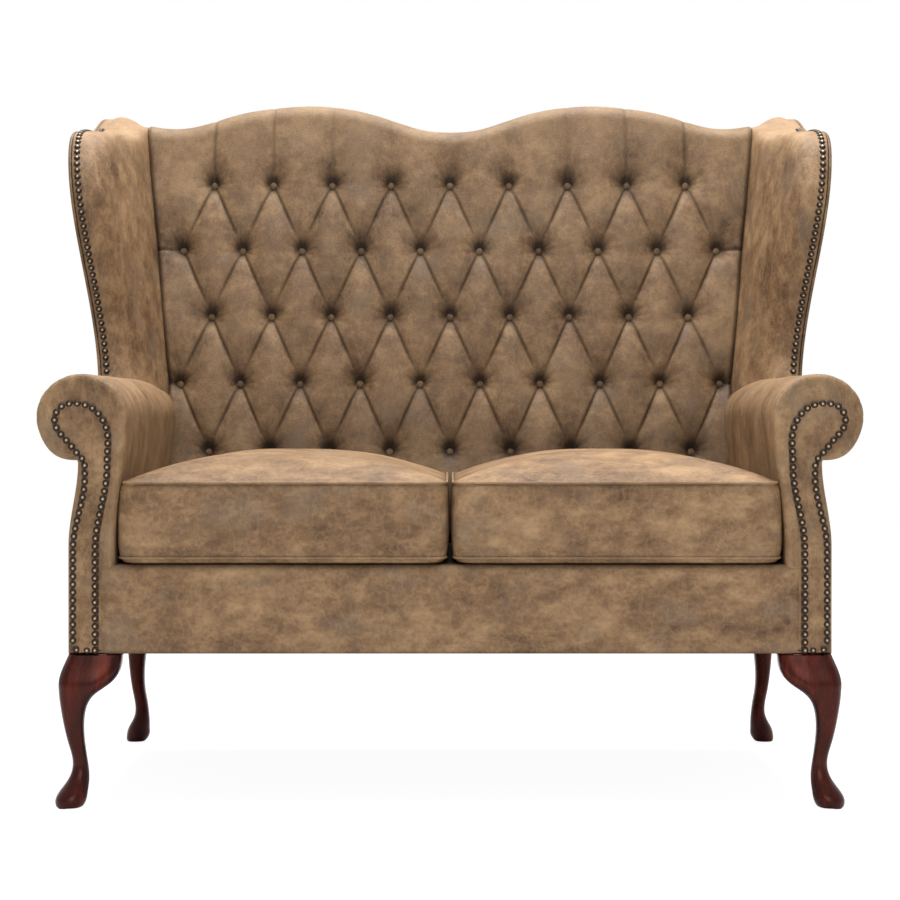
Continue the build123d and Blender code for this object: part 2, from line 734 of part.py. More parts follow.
with BuildPart() as back_cover:
    loft([tuft_section(along, spread) for along, spread in sections], ruled=True)
    cap_low = sides(TOP_RAIL_LOW, inside_seam)
    extrude(below_top(0, cap_low, back_face.offset(-BACK_T)), amount=BACK_T + foam_front)
    extrude(below_top(TOP_WRAP, cap_low, back_face.offset(-BACK_T)), amount=BACK_T + foam_front, mode=Mode.SUBTRACT)
    with BuildSketch(back_face.offset(-BACK_T)):
        with BuildLine():
            Spline(*top_points(0))
            Polyline(
                top_points(0)[-1],
                (top_points(0)[-1][0], 2 * TOP_HUMP),
                (top_points(0)[0][0], 2 * TOP_HUMP),
                top_points(0)[0],
            )
        make_face()
    extrude(amount=2 * crown, mode=Mode.SUBTRACT)
    with BuildLine(back_face.offset(crown)) as top_edge:
        Spline(*top_points(0))
    with BuildSketch(
        Plane(origin=top_edge.line @ 0, x_dir=back_face.z_dir, z_dir=top_edge.line % 0)
    ) as spandrel:
        with BuildLine():
            Polyline(
                (0, TOP_ROUND),
                (STRAP_W, TOP_ROUND),
                (STRAP_W, -STRAP_W),
                (-TOP_ROUND, -STRAP_W),
                (-TOP_ROUND, 0),
            )
            RadiusArc((-TOP_ROUND, 0), (0, TOP_ROUND), TOP_ROUND)
        make_face()
    sweep(path=top_edge.line, mode=Mode.SUBTRACT)
    add(button_wells.part, mode=Mode.SUBTRACT)
keep(back_cover.part, "back_cover")

# Buttons, and the ties that draw them back through the foam to the webbing
with BuildPart() as button:
    with BuildSketch(Plane.XZ):
        with BuildLine():
            Polyline((0, BUTTON_H), (0, 0), (BUTTON_R, 0), (BUTTON_R, BUTTON_H / 3))
            out, rise_mid = dome_mid(BUTTON_R, BUTTON_H * 2 / 3)
            ThreePointArc((BUTTON_R, BUTTON_H / 3), (out, BUTTON_H / 3 + rise_mid), (0, BUTTON_H))
        make_face()
    revolve(axis=Axis.Z)
with BuildPart(back_face.offset(foam_front + well_floor)) as back_buttons:
    with Locations(*button_spots):
        add(button.part)
keep(back_buttons.part, "back_buttons")

with BuildPart() as button_ties:
    with BuildSketch(back_face.offset(-STRAP_T)):
        with Locations(*button_spots):
            Circle(WASHER_R)
    extrude(amount=STRAP_T)
    with BuildSketch(back_face):
        with Locations(*button_spots):
            Circle(TIE_R)
    extrude(amount=foam_front + well_floor)
keep(button_ties.part, "button_ties")

# Arm: the whole scroll, then the pad, the outside panel and the facing
arm_length = BACK_DEPTH + ROLL_RX
with BuildPart() as arm_envelope:
    extrude(arm_face(0, front_plane(FACING_T)), amount=-2 * arm_length)
    split(bisect_by=back_face.offset(-BACK_T - PANEL_T), keep=Keep.TOP)

with BuildPart() as arm_outside:
    extrude(arm_face(0, front_plane(FACING_T)), amount=-2 * arm_length)
    inner_copy = arm_face(0, front_plane(FACING_T)).moved(Location((-ARM_SKIN, 0, 0)))
    extrude(inner_copy, amount=-2 * arm_length, mode=Mode.SUBTRACT)
    split(bisect_by=Plane.XY.offset(ROLL_Z - ROLL_RZ - ARM_SKIN), keep=Keep.BOTTOM)
    split(bisect_by=back_face.offset(-BACK_T), keep=Keep.TOP)
keep_pair(arm_outside.part, "arm_outside")

with BuildPart() as back_room:
    with BuildSketch(back_face.offset(-2 * BACK_T)):
        Rectangle(2 * (SEAM_X + GAP), 3 * TOP_HUMP)
    extrude(amount=2 * BACK_T + crown + GAP)
    with BuildSketch(back_face.offset(-2 * BACK_T)):
        Rectangle(2 * BACK_POST_IN, 3 * TOP_HUMP)
    extrude(amount=2 * BACK_T)

# Room under the deck, where the seat frame passes behind the arm
with BuildPart() as seat_room:
    with BuildSketch(Plane.XY.offset(LEG_HEIGHT)):
        with Locations((0, depth(BACK_DEPTH / 2 + RAIL_FRONT))):
            Rectangle(2 * SIDE_IN, BACK_DEPTH + 2 * BACK_T)
    extrude(amount=CLIP_TOP - LEG_HEIGHT)

with BuildPart() as arm_pad:
    extrude(arm_face(0, front_plane(FACING_T)), amount=-2 * arm_length)
    split(bisect_by=back_face.offset(-BACK_T), keep=Keep.TOP)
    for neighbour in (
        arm_outside,
        arm_post,
        arm_rail,
        side_rail,
        back_post,
        wing_board,
        back_room,
        seat_room,
        front_border,
        back_webbing,
        frame_dowels,
        leg_bolts,
    ):
        add(neighbour.part, mode=Mode.SUBTRACT)
keep_pair(arm_pad.solids().sort_by(SortBy.VOLUME)[-1], "arm_pad")

# Nail line round the arm facing: a narrow stem that opens into the scroll
STEM_IN = ARM_OUT - 42.0
STEM_OUT = ARM_OUT - 9.0
STEM_LOW = 236.0
STEM_HIGH = ARM_SWELL - 7.0
SCROLL_START = (ROLL_X - 40.0, ROLL_Z - 71.5)
SCROLL_END = (ROLL_X - 7.0, ROLL_Z - 88.5)
SCROLL_BENDS = [
    (-38.0, -14.5),
    (-18.5, 12.5),
    (7.5, 19.5),
    (31.5, 12.5),
    (38.5, -7.5),
    (20.5, -35.5),
    (-2.5, -62.5),
]


def draw_nail_line():
    """Draw the closed line of the arm nails in the plane that is open."""
    Line((STEM_IN, STEM_LOW), (STEM_IN, STEM_HIGH))
    Spline((STEM_IN, STEM_HIGH), SCROLL_START, tangents=((0, 1), (0, 1)))
    Spline(
        SCROLL_START,
        *[(ROLL_X + x, ROLL_Z + z) for x, z in SCROLL_BENDS],
        SCROLL_END,
        tangents=((0, 1), (0, -1)),
    )
    Spline(SCROLL_END, (STEM_OUT, STEM_HIGH), tangents=((0, -1), (0, -1)))
    Line((STEM_OUT, STEM_HIGH), (STEM_OUT, STEM_LOW))
    Line((STEM_OUT, STEM_LOW), (STEM_IN, STEM_LOW))


with BuildLine() as nail_loop:
    draw_nail_line()

with BuildPart() as arm_facing:
    with BuildSketch(front_plane(0)):
        with BuildLine():
            draw_nail_line()
        make_face()
    extrude(amount=-FACING_T)
keep_pair(arm_facing.part, "arm_facing")

with BuildPart() as nail:
    with BuildSketch(Plane.XZ):
        with BuildLine():
            Polyline(
                (0, NAIL_H),
                (0, -NAIL_SHANK),
                (NAIL_SHANK_R, -NAIL_SHANK),
                (NAIL_SHANK_R, 0),
                (NAIL_R, 0),
            )
            ThreePointArc((NAIL_R, 0), dome_mid(NAIL_R, NAIL_H), (0, NAIL_H))
        make_face()
    revolve(axis=Axis.Z)

loop_wire = Wire(nail_loop.edges())
loop_count = round(loop_wire.length / NAIL_PITCH)
loop_places = [loop_wire @ (step / loop_count) for step in range(loop_count)]
with BuildPart() as arm_nails:
    with Locations(*[Plane((at.X, depth(0), at.Y), z_dir=(0, -1, 0)) for at in loop_places]):
        add(nail.part)
keep_pair(arm_nails.part, "arm_nails")

# Wings: the padded inside, the outside panel and the nails along the edge
with BuildPart() as post_room:
    with BuildSketch(back_face):
        with Locations((WING_X, BACK_POST_TOP / 2)):
            Rectangle(3 * (WING_X - SEAM_X), BACK_POST_TOP)
    extrude(amount=-2 * BACK_T)

with BuildPart() as wing_pad:
    extrude(wing_face(0, wing_span, -BACK_T), amount=wing_reach)
    split(bisect_by=wing_outer.offset(-WING_SKIN), keep=Keep.BOTTOM)
    split(bisect_by=wing_inner, keep=Keep.TOP)
    split(bisect_by=seam_plane, keep=Keep.TOP)
    rims = wing_pad.edges().filter_by(GeomType.BSPLINE).sort_by(SortBy.LENGTH)
    fillet(rims[-2], WING_ROUND)
    for neighbour in (arm_envelope, wing_board, post_room, back_room, back_top_rail, back_webbing):
        add(neighbour.part, mode=Mode.SUBTRACT)
keep_pair(wing_pad.part, "wing_pad")

with BuildPart() as wing_outside:
    extrude(wing_face(0, wing_span, -BACK_T - PANEL_T), amount=wing_reach)
    split(bisect_by=wing_outer, keep=Keep.BOTTOM)
    split(bisect_by=wing_outer.offset(-WING_SKIN), keep=Keep.TOP)
    fillet(wing_outside.edges().filter_by(GeomType.BSPLINE).sort_by(Axis.X)[-1], WING_SKIN * 0.8)
    add(arm_envelope.part, mode=Mode.SUBTRACT)
keep_pair(wing_outside.part, "wing_outside")

with BuildLine(Plane.YZ) as wing_edge:
    draw_wing_edge(0, -BACK_T)
edge_line = wing_edge.edges()[0]
wing_nail_planes = []
for step in range(int(edge_line.length / NAIL_PITCH)):
    place = edge_line.position_at(step * NAIL_PITCH / edge_line.length)
    heading = edge_line.tangent_at(step * NAIL_PITCH / edge_line.length)
    if place.Z > ROLL_Z + ROLL_RZ + 2 * NAIL_R and place.Y < depth(BACK_DEPTH + WING_WRAP):
        spot = (wing_x(WING_NAIL_IN, place.Y, place.Z), place.Y, place.Z)
        wing_nail_planes.append(Plane(origin=spot, z_dir=Vector(1, 0, 0).cross(heading)))
with BuildPart() as wing_nails:
    with Locations(*wing_nail_planes):
        add(nail.part)
keep_pair(wing_nails.part, "wing_nails")

with BuildPart() as outside_back:
    extrude(arm_face(0, front_plane(BACK_DEPTH - 2 * ROLL_RX)), amount=-4 * ROLL_RX)
    split(bisect_by=back_face.offset(-BACK_T), keep=Keep.BOTTOM)
    split(bisect_by=back_face.offset(-BACK_T - PANEL_T), keep=Keep.TOP)
    mirror(about=Plane.YZ)
    panel_plane = back_face.offset(-BACK_T)
    roll_along = up(ROLL_Z)
    head_along = TOP_HUMP + TOP_WRAP
    roll_y = back_point(0, roll_along, -BACK_T).Y
    head_y = back_point(0, head_along, -BACK_T).Y
    panel_side = [
        (SIDE_IN, up(LEG_HEIGHT + BACK_T / 2)),
        (SIDE_IN, roll_along),
        (wing_x(WING_SKIN + STRAP_T, roll_y, ROLL_Z), roll_along),
        (wing_x(WING_SKIN + STRAP_T, head_y, head_along * math.cos(rake)), head_along),
    ]
    extrude(below_top(STRAP_T, panel_side, panel_plane), amount=-PANEL_T)
keep(outside_back.part, "outside_back")


# Loose seat cushions: drawn-in sides, a crown on top and a rear that leans with the back
def cushion_face(height, inset, shrink):
    """Draw a level section of the right cushion, set in by an amount."""
    low_x = CUSHION_MID + inset + shrink
    high_x = CUSHION_OUT - inset - shrink
    low_y = depth(CUSHION_FRONT + inset + shrink)
    high_y = depth(CUSHION_REAR + (height - CUSHION_LOW) * lean - inset - shrink)
    mid_x = (low_x + high_x) / 2
    mid_y = (low_y + high_y) / 2
    with BuildSketch(Plane.XY.offset(height)) as sketch:
        with BuildLine():
            ThreePointArc((low_x, low_y), (mid_x, low_y + CUSHION_DRAW), (high_x, low_y))
            ThreePointArc((high_x, low_y), (high_x - CUSHION_DRAW, mid_y), (high_x, high_y))
            ThreePointArc((high_x, high_y), (mid_x, high_y - CUSHION_DRAW), (low_x, high_y))
            ThreePointArc((low_x, high_y), (low_x + CUSHION_DRAW, mid_y), (low_x, low_y))
        make_face()
        fillet(sketch.vertices(), CUSHION_CORNER)
    return sketch.sketch


rise = CUSHION_TOP - CUSHION_SEAM
cushion_levels = [
    (CUSHION_LOW, 14.0),
    (CUSHION_LOW + 9, 4.0),
    (CUSHION_LOW + 24, 0.5),
    (CUSHION_SEAM - 24, 0.5),
    (CUSHION_SEAM - 8, 3.0),
    (CUSHION_SEAM, 10.0),
    (CUSHION_SEAM + 0.34 * rise, 40.0),
    (CUSHION_SEAM + 0.62 * rise, 80.0),
    (CUSHION_SEAM + 0.86 * rise, 130.0),
    (CUSHION_TOP, 185.0),
]
core_levels = [(CUSHION_LOW + COVER_SKIN, 14.0)]
core_levels += cushion_levels[1:-1]
core_levels += [(CUSHION_TOP - COVER_SKIN, 180.0)]

with BuildPart() as cushion_core:
    loft([cushion_face(height, inset, COVER_SKIN) for height, inset in core_levels], ruled=True)
keep_pair(cushion_core.part, "cushion_core")

with BuildPart() as cushion_cover:
    loft([cushion_face(height, inset, 0) for height, inset in cushion_levels], ruled=True)
    add(cushion_core.part, mode=Mode.SUBTRACT)
keep_pair(cushion_cover.part, "cushion_cover")


# Cabriole legs
def leg_loft(levels):
    """Loft a leg through its level sections, given as height, X span, depth span and corner."""
    with BuildPart() as leg:
        for height, (x0, x1), (t0, t1), corner in levels:
            with BuildSketch(Plane.XY.offset(height)):
                with Locations(((x0 + x1) / 2, depth((t0 + t1) / 2))):
                    RectangleRounded(x1 - x0, t1 - t0, corner)
        loft()
        add(bolt_bores.part, mode=Mode.SUBTRACT)
    return leg.part


front_leg_levels = [
    (GLIDE_H, -10.0, 18.0, 12.0),
    (10.0, -17.0, 24.0, 16.0),
    (22.0, -21.5, 17.5, 15.0),
    (40.0, -22.0, 7.0, 12.0),
    (60.0, -20.0, 3.0, 10.5),
    (84.0, -17.0, 7.0, 10.5),
    (110.0, -15.0, 14.0, 11.0),
    (137.0, -18.5, 19.0, 11.0),
    (162.0, -28.0, 21.5, 10.0),
    (190.0, -34.0, 20.5, 9.0),
    (212.0, -37.0, 15.0, 7.0),
    (LEG_HEIGHT, -38.0, 6.0, 6.0),
]
leg_front = leg_loft(
    [
        (height, (ARM_OUT + near, ARM_OUT + far), (-far, -near), corner)
        for height, near, far, corner in front_leg_levels
    ]
)
keep_pair(leg_front, "leg_front")

rear_leg_levels = [
    (GLIDE_H, (8.0, 30.0), (4.0, 29.0), 10.0),
    (10.0, (2.0, 36.5), (-3.0, 36.0), 14.0),
    (24.0, (-2.5, 31.0), (-9.0, 26.0), 13.0),
    (45.0, (-3.0, 24.0), (-17.0, 11.0), 11.0),
    (72.0, (-0.5, 23.5), (-24.0, 1.0), 10.0),
    (110.0, (2.0, 28.5), (-34.0, -7.0), 9.0),
    (150.0, (-1.0, 30.5), (-42.0, -11.0), 8.0),
    (190.0, (-13.0, 31.0), (-49.0, -12.0), 7.0),
    (LEG_HEIGHT, (-22.0, 28.0), (-54.0, -12.0), 6.0),
]
leg_rear = leg_loft(
    [
        (height, [BACK_POST_OUT + x for x in across], [BACK_DEPTH + t for t in back], corner)
        for height, across, back, corner in rear_leg_levels
    ]
)
keep_pair(leg_rear, "leg_rear")

# Shaped brackets beside the front legs' knees, one along the front and one along the side
with BuildPart() as knee_brackets:
    for plane, sign, origin in (
        (front_plane(2.0), 1, ARM_OUT),
        (Plane.YZ.offset(ARM_OUT - 2.0), -1, depth(0)),
    ):
        with BuildSketch(plane):
            with BuildLine():
                Polyline(
                    (origin - sign * 20, BRACKET_LOW - 8),
                    (origin - sign * 20, LEG_HEIGHT),
                    (origin - sign * BRACKET_REACH, LEG_HEIGHT),
                    (origin - sign * BRACKET_REACH, BRACKET_END_Z),
                )
                ThreePointArc(
                    (origin - sign * BRACKET_REACH, BRACKET_END_Z),
                    (origin - sign * 0.8 * BRACKET_REACH, BRACKET_END_Z - 32),
                    (origin - sign * 20, BRACKET_LOW - 8),
                )
            make_face()
        extrude(amount=-BRACKET_T)
    add(leg_front, mode=Mode.SUBTRACT)
    add(bolt_bores.part, mode=Mode.SUBTRACT)
with BuildPart() as leg_brackets:
    add(knee_brackets.part)
    mirror(about=Plane.YZ)
keep(leg_brackets.part, "leg_brackets")

foot_spots = [
    (ARM_OUT + GLIDE_OUT, depth(-GLIDE_OUT)),
    (BACK_POST_OUT + REAR_GLIDE_OUT, depth(BACK_DEPTH + REAR_GLIDE_BACK)),
]
with BuildPart() as foot_glides:
    with Locations(*[(side * x, y, GLIDE_H / 2) for x, y in foot_spots for side in (1, -1)]):
        Cylinder(GLIDE_R, GLIDE_H)
keep(foot_glides.part, "foot_glides")
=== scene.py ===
import json
import logging
import math
from collections.abc import Sequence
from dataclasses import dataclass, field
from enum import Enum
from typing import Any

import bmesh
import bpy
import numpy as np
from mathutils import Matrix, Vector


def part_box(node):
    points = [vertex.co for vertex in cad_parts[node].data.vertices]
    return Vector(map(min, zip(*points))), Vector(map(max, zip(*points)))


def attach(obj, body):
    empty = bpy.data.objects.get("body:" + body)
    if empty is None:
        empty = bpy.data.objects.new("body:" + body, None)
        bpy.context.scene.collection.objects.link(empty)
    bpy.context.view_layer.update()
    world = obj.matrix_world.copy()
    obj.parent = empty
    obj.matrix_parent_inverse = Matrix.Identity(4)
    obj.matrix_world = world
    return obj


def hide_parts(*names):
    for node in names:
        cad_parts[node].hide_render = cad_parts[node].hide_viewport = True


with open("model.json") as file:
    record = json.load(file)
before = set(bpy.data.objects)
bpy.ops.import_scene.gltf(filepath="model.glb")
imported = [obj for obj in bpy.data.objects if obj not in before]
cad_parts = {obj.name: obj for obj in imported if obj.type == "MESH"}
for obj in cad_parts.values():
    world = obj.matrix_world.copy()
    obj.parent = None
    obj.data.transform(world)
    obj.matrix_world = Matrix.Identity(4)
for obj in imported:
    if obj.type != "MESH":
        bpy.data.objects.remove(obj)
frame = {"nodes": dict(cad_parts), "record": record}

# A winged two-seat sofa in worn tan leather. Sizes are in millimetres, in the frame of the
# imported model: X across, Y from the front to the back, Z up from the floor. A depth is
# measured back from the front face of the arms.

Points = np.ndarray
MM = 0.001
TINY = 1e-9
UP = np.array([0.0, 0.0, 1.0])
FRONT_Y = -378.0
LOG = logging.getLogger("sofa")


class Side(Enum):
    """The two hands of the sofa, with the sign of X on each."""

    LEFT = -1
    RIGHT = 1

    def name_of(self, piece: str) -> str:
        """Give the name of a piece on this side."""
        return f"{piece}_{self.name.lower()}"


class Slot(Enum):
    """The record's material slots, by which the imported nodes take their finish."""

    LEATHER = "tan_leather"
    LEGS = "leg_mahogany"
    BRASS = "antique_brass"
    TIMBER = "frame_beech"
    FOAM = "foam"
    STEEL = "spring_steel"
    CLOTH = "hessian"
    GLIDE = "nylon"


# Curves and meshes


def ease(low: float, high: float, value: Points) -> Points:
    """Rise smoothly from 0 at low to 1 at high."""
    share = np.clip((value - low) / (high - low), 0.0, 1.0)
    return share * share * (3.0 - 2.0 * share)


def end_heading(chord: Points, knots: Points) -> Points:
    """Give the heading at the first stop of the cubic through the first four stops."""
    reach = np.abs(chord[:4] - chord[0])
    powers = np.vander(reach, len(reach), increasing=True)
    return np.linalg.solve(powers, knots[: len(reach)])[1]


def curve_through(
    stops: Sequence[Sequence[float]],
    count: int,
    start: Sequence[float] | None = None,
    end: Sequence[float] | None = None,
) -> Points:
    """Run a cubic curve through stops.

    Args:
        stops: The points that the curve passes.
        count: How many points to give.
        start: The heading at the first stop, or None for that of a cubic through four stops.
        end: The heading at the last stop, or None for that of a cubic through four stops.

    Returns:
        The points of the curve, one to a row.
    """
    knots = np.asarray(stops, float)
    size = len(knots)
    gaps = np.linalg.norm(np.diff(knots, axis=0), axis=1)
    chord = np.concatenate([[0.0], np.cumsum(gaps)])
    slopes = np.diff(knots, axis=0) / gaps[:, None]
    system = np.eye(size)
    right = np.zeros_like(knots)
    for at in range(1, size - 1):
        system[at, at - 1 : at + 2] = gaps[at - 1], 2 * (gaps[at - 1] + gaps[at]), gaps[at]
        right[at] = 6 * (slopes[at] - slopes[at - 1])
    first = end_heading(chord, knots) if start is None else np.asarray(start, float)
    last = -end_heading(chord[::-1], knots[::-1]) if end is None else np.asarray(end, float)
    system[0, :2] = 2 * gaps[0], gaps[0]
    right[0] = 6 * (slopes[0] - first)
    system[-1, -2:] = gaps[-1], 2 * gaps[-1]
    right[-1] = 6 * (last - slopes[-1])
    bend = np.linalg.solve(system, right)
    where = np.linspace(0.0, chord[-1], count)
    cell = np.clip(np.searchsorted(chord, where, "right") - 1, 0, size - 2)
    gap = gaps[cell]
    back = (chord[cell + 1] - where) / gap
    on = 1.0 - back
    curl = (back**3 - back)[:, None] * bend[cell] + (on**3 - on)[:, None] * bend[cell + 1]
    line = back[:, None] * knots[cell] + on[:, None] * knots[cell + 1]
    return line + curl * (gap**2 / 6.0)[:, None]


def evenly(line: Points, count: int) -> Points:
    """Respace a line's points evenly along its length."""
    run = np.concatenate([[0.0], np.cumsum(np.linalg.norm(np.diff(line, axis=0), axis=1))])
    where = np.linspace(0.0, run[-1], count)
    return np.stack([np.interp(where, run, line[:, axis]) for axis in range(line.shape[1])], 1)


def joined(*lines: Points) -> Points:
    """Join lines end to end, without the shared points."""
    parts = [line[:-1] for line in lines[:-1]]
    return np.concatenate([*parts, lines[-1]])


def loop_normals(loop: Points) -> Points:
    """Give the unit normals of a closed flat loop, pointing left of its run."""
    run = np.roll(loop, -1, axis=0) - np.roll(loop, 1, axis=0)
    normal = np.stack([-run[:, 1], run[:, 0]], 1)
    return normal / np.linalg.norm(normal, axis=1)[:, None]


def sheet_faces(rows: int, columns: int, closed: bool = False) -> list[tuple[int, ...]]:
    """Give the quads of a grid of points.

    Args:
        rows: How many rows of points there are.
        columns: How many points a row has.
        closed: Whether each row closes on itself.

    Returns:
        The corner indices of the quads.
    """
    across = np.arange(columns if closed else columns - 1)
    base = (np.arange(rows - 1) * columns)[:, None]
    near = base + across
    far = base + (across + 1) % columns
    quads = np.stack([near, far, far + columns, near + columns], -1).reshape(-1, 4)
    return [tuple(int(corner) for corner in quad) for quad in quads]


def later_faces(faces: Sequence[Sequence[int]], start: int) -> list[tuple[int, ...]]:
    """Count the corners of faces on from a later point."""
    return [tuple(start + corner for corner in face) for face in faces]


def full_turn(count: int) -> Points:
    """Give the angles of a number of points round a circle."""
    return np.linspace(0.0, 2 * math.pi, count, endpoint=False)


def quarter_turn(count: int) -> Points:
    """Give the angles of a number of points over a quarter of a circle."""
    return np.linspace(0.0, math.pi / 2, count)


def on_side(rows: Sequence[Points], side: Side) -> Points:
    """Turn rows of X, depth and height, as on the right, into points on a side."""
    grid = np.concatenate(rows)
    return np.stack([grid[:, 0] * side.value, grid[:, 1] + FRONT_Y, grid[:, 2]], 1)


def place_mesh(
    name: str, points: Points, faces: Sequence[Sequence[int]], inside: Sequence[float]
) -> bpy.types.Object:
    """Make a smooth-shaded mesh object.

    Args:
        name: The object's name.
        points: The points in millimetres, one to a row.
        faces: The corner indices of the faces.
        inside: A point in millimetres that the faces turn away from.

    Returns:
        The new object.
    """
    mesh = bpy.data.meshes.new(name)
    mesh.from_pydata((np.asarray(points, float) * MM).tolist(), [], [list(face) for face in faces])
    mesh.update()
    count = len(mesh.polygons)
    middles = np.zeros(count * 3)
    normals = np.zeros(count * 3)
    areas = np.zeros(count)
    mesh.polygons.foreach_get("center", middles)
    mesh.polygons.foreach_get("normal", normals)
    mesh.polygons.foreach_get("area", areas)
    reach = middles.reshape(-1, 3) - np.asarray(inside, float) * MM
    if (np.einsum("ij,ij->i", reach, normals.reshape(-1, 3)) * areas).sum() < 0:
        mesh.flip_normals()
    mesh.polygons.foreach_set("use_smooth", np.ones(count, bool))
    piece = bpy.data.objects.new(name, mesh)
    bpy.context.scene.collection.objects.link(piece)
    return piece


def place_rows(
    name: str,
    rows: Sequence[Points],
    faces: Sequence[Sequence[int]],
    inside: Sequence[float],
    side: Side = Side.RIGHT,
) -> bpy.types.Object:
    """Make a mesh object on a side.

    Args:
        name: The object's name.
        rows: Rows of X, depth and height, as on the right.
        faces: The corner indices of the faces.
        inside: A place, as on the right, that the faces turn away from.
        side: The side that it is made for.

    Returns:
        The new object.
    """
    return place_mesh(name, on_side(rows, side), faces, on_side([[inside]], side)[0])


def closed_tube(line: Points, radius: float, sides: int) -> tuple[Points, list[tuple[int, ...]]]:
    """Give the points and quads of a round tube along a closed line.

    Args:
        line: The tube's middle line in millimetres.
        radius: The tube's radius.
        sides: How many points go round it.

    Returns:
        The points, and the quads between them.
    """
    ahead = np.roll(line, -1, axis=0) - np.roll(line, 1, axis=0)
    ahead /= np.linalg.norm(ahead, axis=1)[:, None]
    side = np.cross(ahead, UP)
    side /= np.maximum(np.linalg.norm(side, axis=1), TINY)[:, None]
    rise = np.cross(side, ahead)
    turn = full_turn(sides)
    ring = np.cos(turn)[None, :, None] * side[:, None] + np.sin(turn)[None, :, None] * rise[:, None]
    points = (line[:, None] + radius * ring).reshape(-1, 3)
    last = (len(line) - 1) * sides
    faces = sheet_faces(len(line), sides, closed=True)
    faces += [(last + at, last + (at + 1) % sides, (at + 1) % sides, at) for at in range(sides)]
    return points, faces


def mark(piece: bpy.types.Object, **values: Any) -> None:
    """Keep numbers per point on a mesh, by name, for its finish to read."""
    for name, numbers in values.items():
        layer = piece.data.attributes.new(name, "FLOAT", "POINT")
        layer.data.foreach_set("value", np.asarray(numbers, np.float32).ravel())


def drift(points: Points, pace: float, seed: float) -> Points:
    """Give a smooth wander between -1 and 1 over points in millimetres."""
    x, y, z = (points * pace).T
    first = np.sin(1.7 * x + 0.6 * y + seed) * np.cos(1.1 * z - 0.8 * y + 2.1 * seed)
    second = np.sin(2.9 * z + 1.3 * x - seed) * np.cos(2.3 * y + 0.7 * x + 0.5 * seed)
    return 0.6 * first + 0.4 * second


# Shaders


class Socket:
    """A shader socket that takes part in Python expressions."""

    def __init__(self, tree: "ShaderTree", link: bpy.types.NodeSocket) -> None:
        """Wrap an output socket of a tree."""
        self.tree = tree
        self.link = link

    def _math(self, operation: str, first: Any, second: Any) -> "Socket":
        """Add a Math node for two values."""
        return self.tree.node("ShaderNodeMath", {"operation": operation}, {0: first, 1: second})

    def __add__(self, other: Any) -> "Socket":
        """Add a value."""
        return self._math("ADD", self, other)

    def __radd__(self, other: Any) -> "Socket":
        """Add to a value."""
        return self._math("ADD", other, self)

    def __sub__(self, other: Any) -> "Socket":
        """Take a value away."""
        return self._math("SUBTRACT", self, other)

    def __rsub__(self, other: Any) -> "Socket":
        """Take this away from a value."""
        return self._math("SUBTRACT", other, self)

    def __mul__(self, other: Any) -> "Socket":
        """Multiply by a value."""
        return self._math("MULTIPLY", self, other)

    def __rmul__(self, other: Any) -> "Socket":
        """Multiply a value."""
        return self._math("MULTIPLY", other, self)

    def __abs__(self) -> "Socket":
        """Drop the sign."""
        return self._math("ABSOLUTE", self, 0.0)

    def larger(self, other: Any) -> "Socket":
        """Give the larger of this and a value."""
        return self._math("MAXIMUM", self, other)


Colour = tuple[float, float, float]


@dataclass(frozen=True)
class Noise:
    """How a cloudy pattern is drawn: its scale to the metre, its detail and its roughness."""

    scale: float
    detail: float = 4.0
    rough: float = 0.6


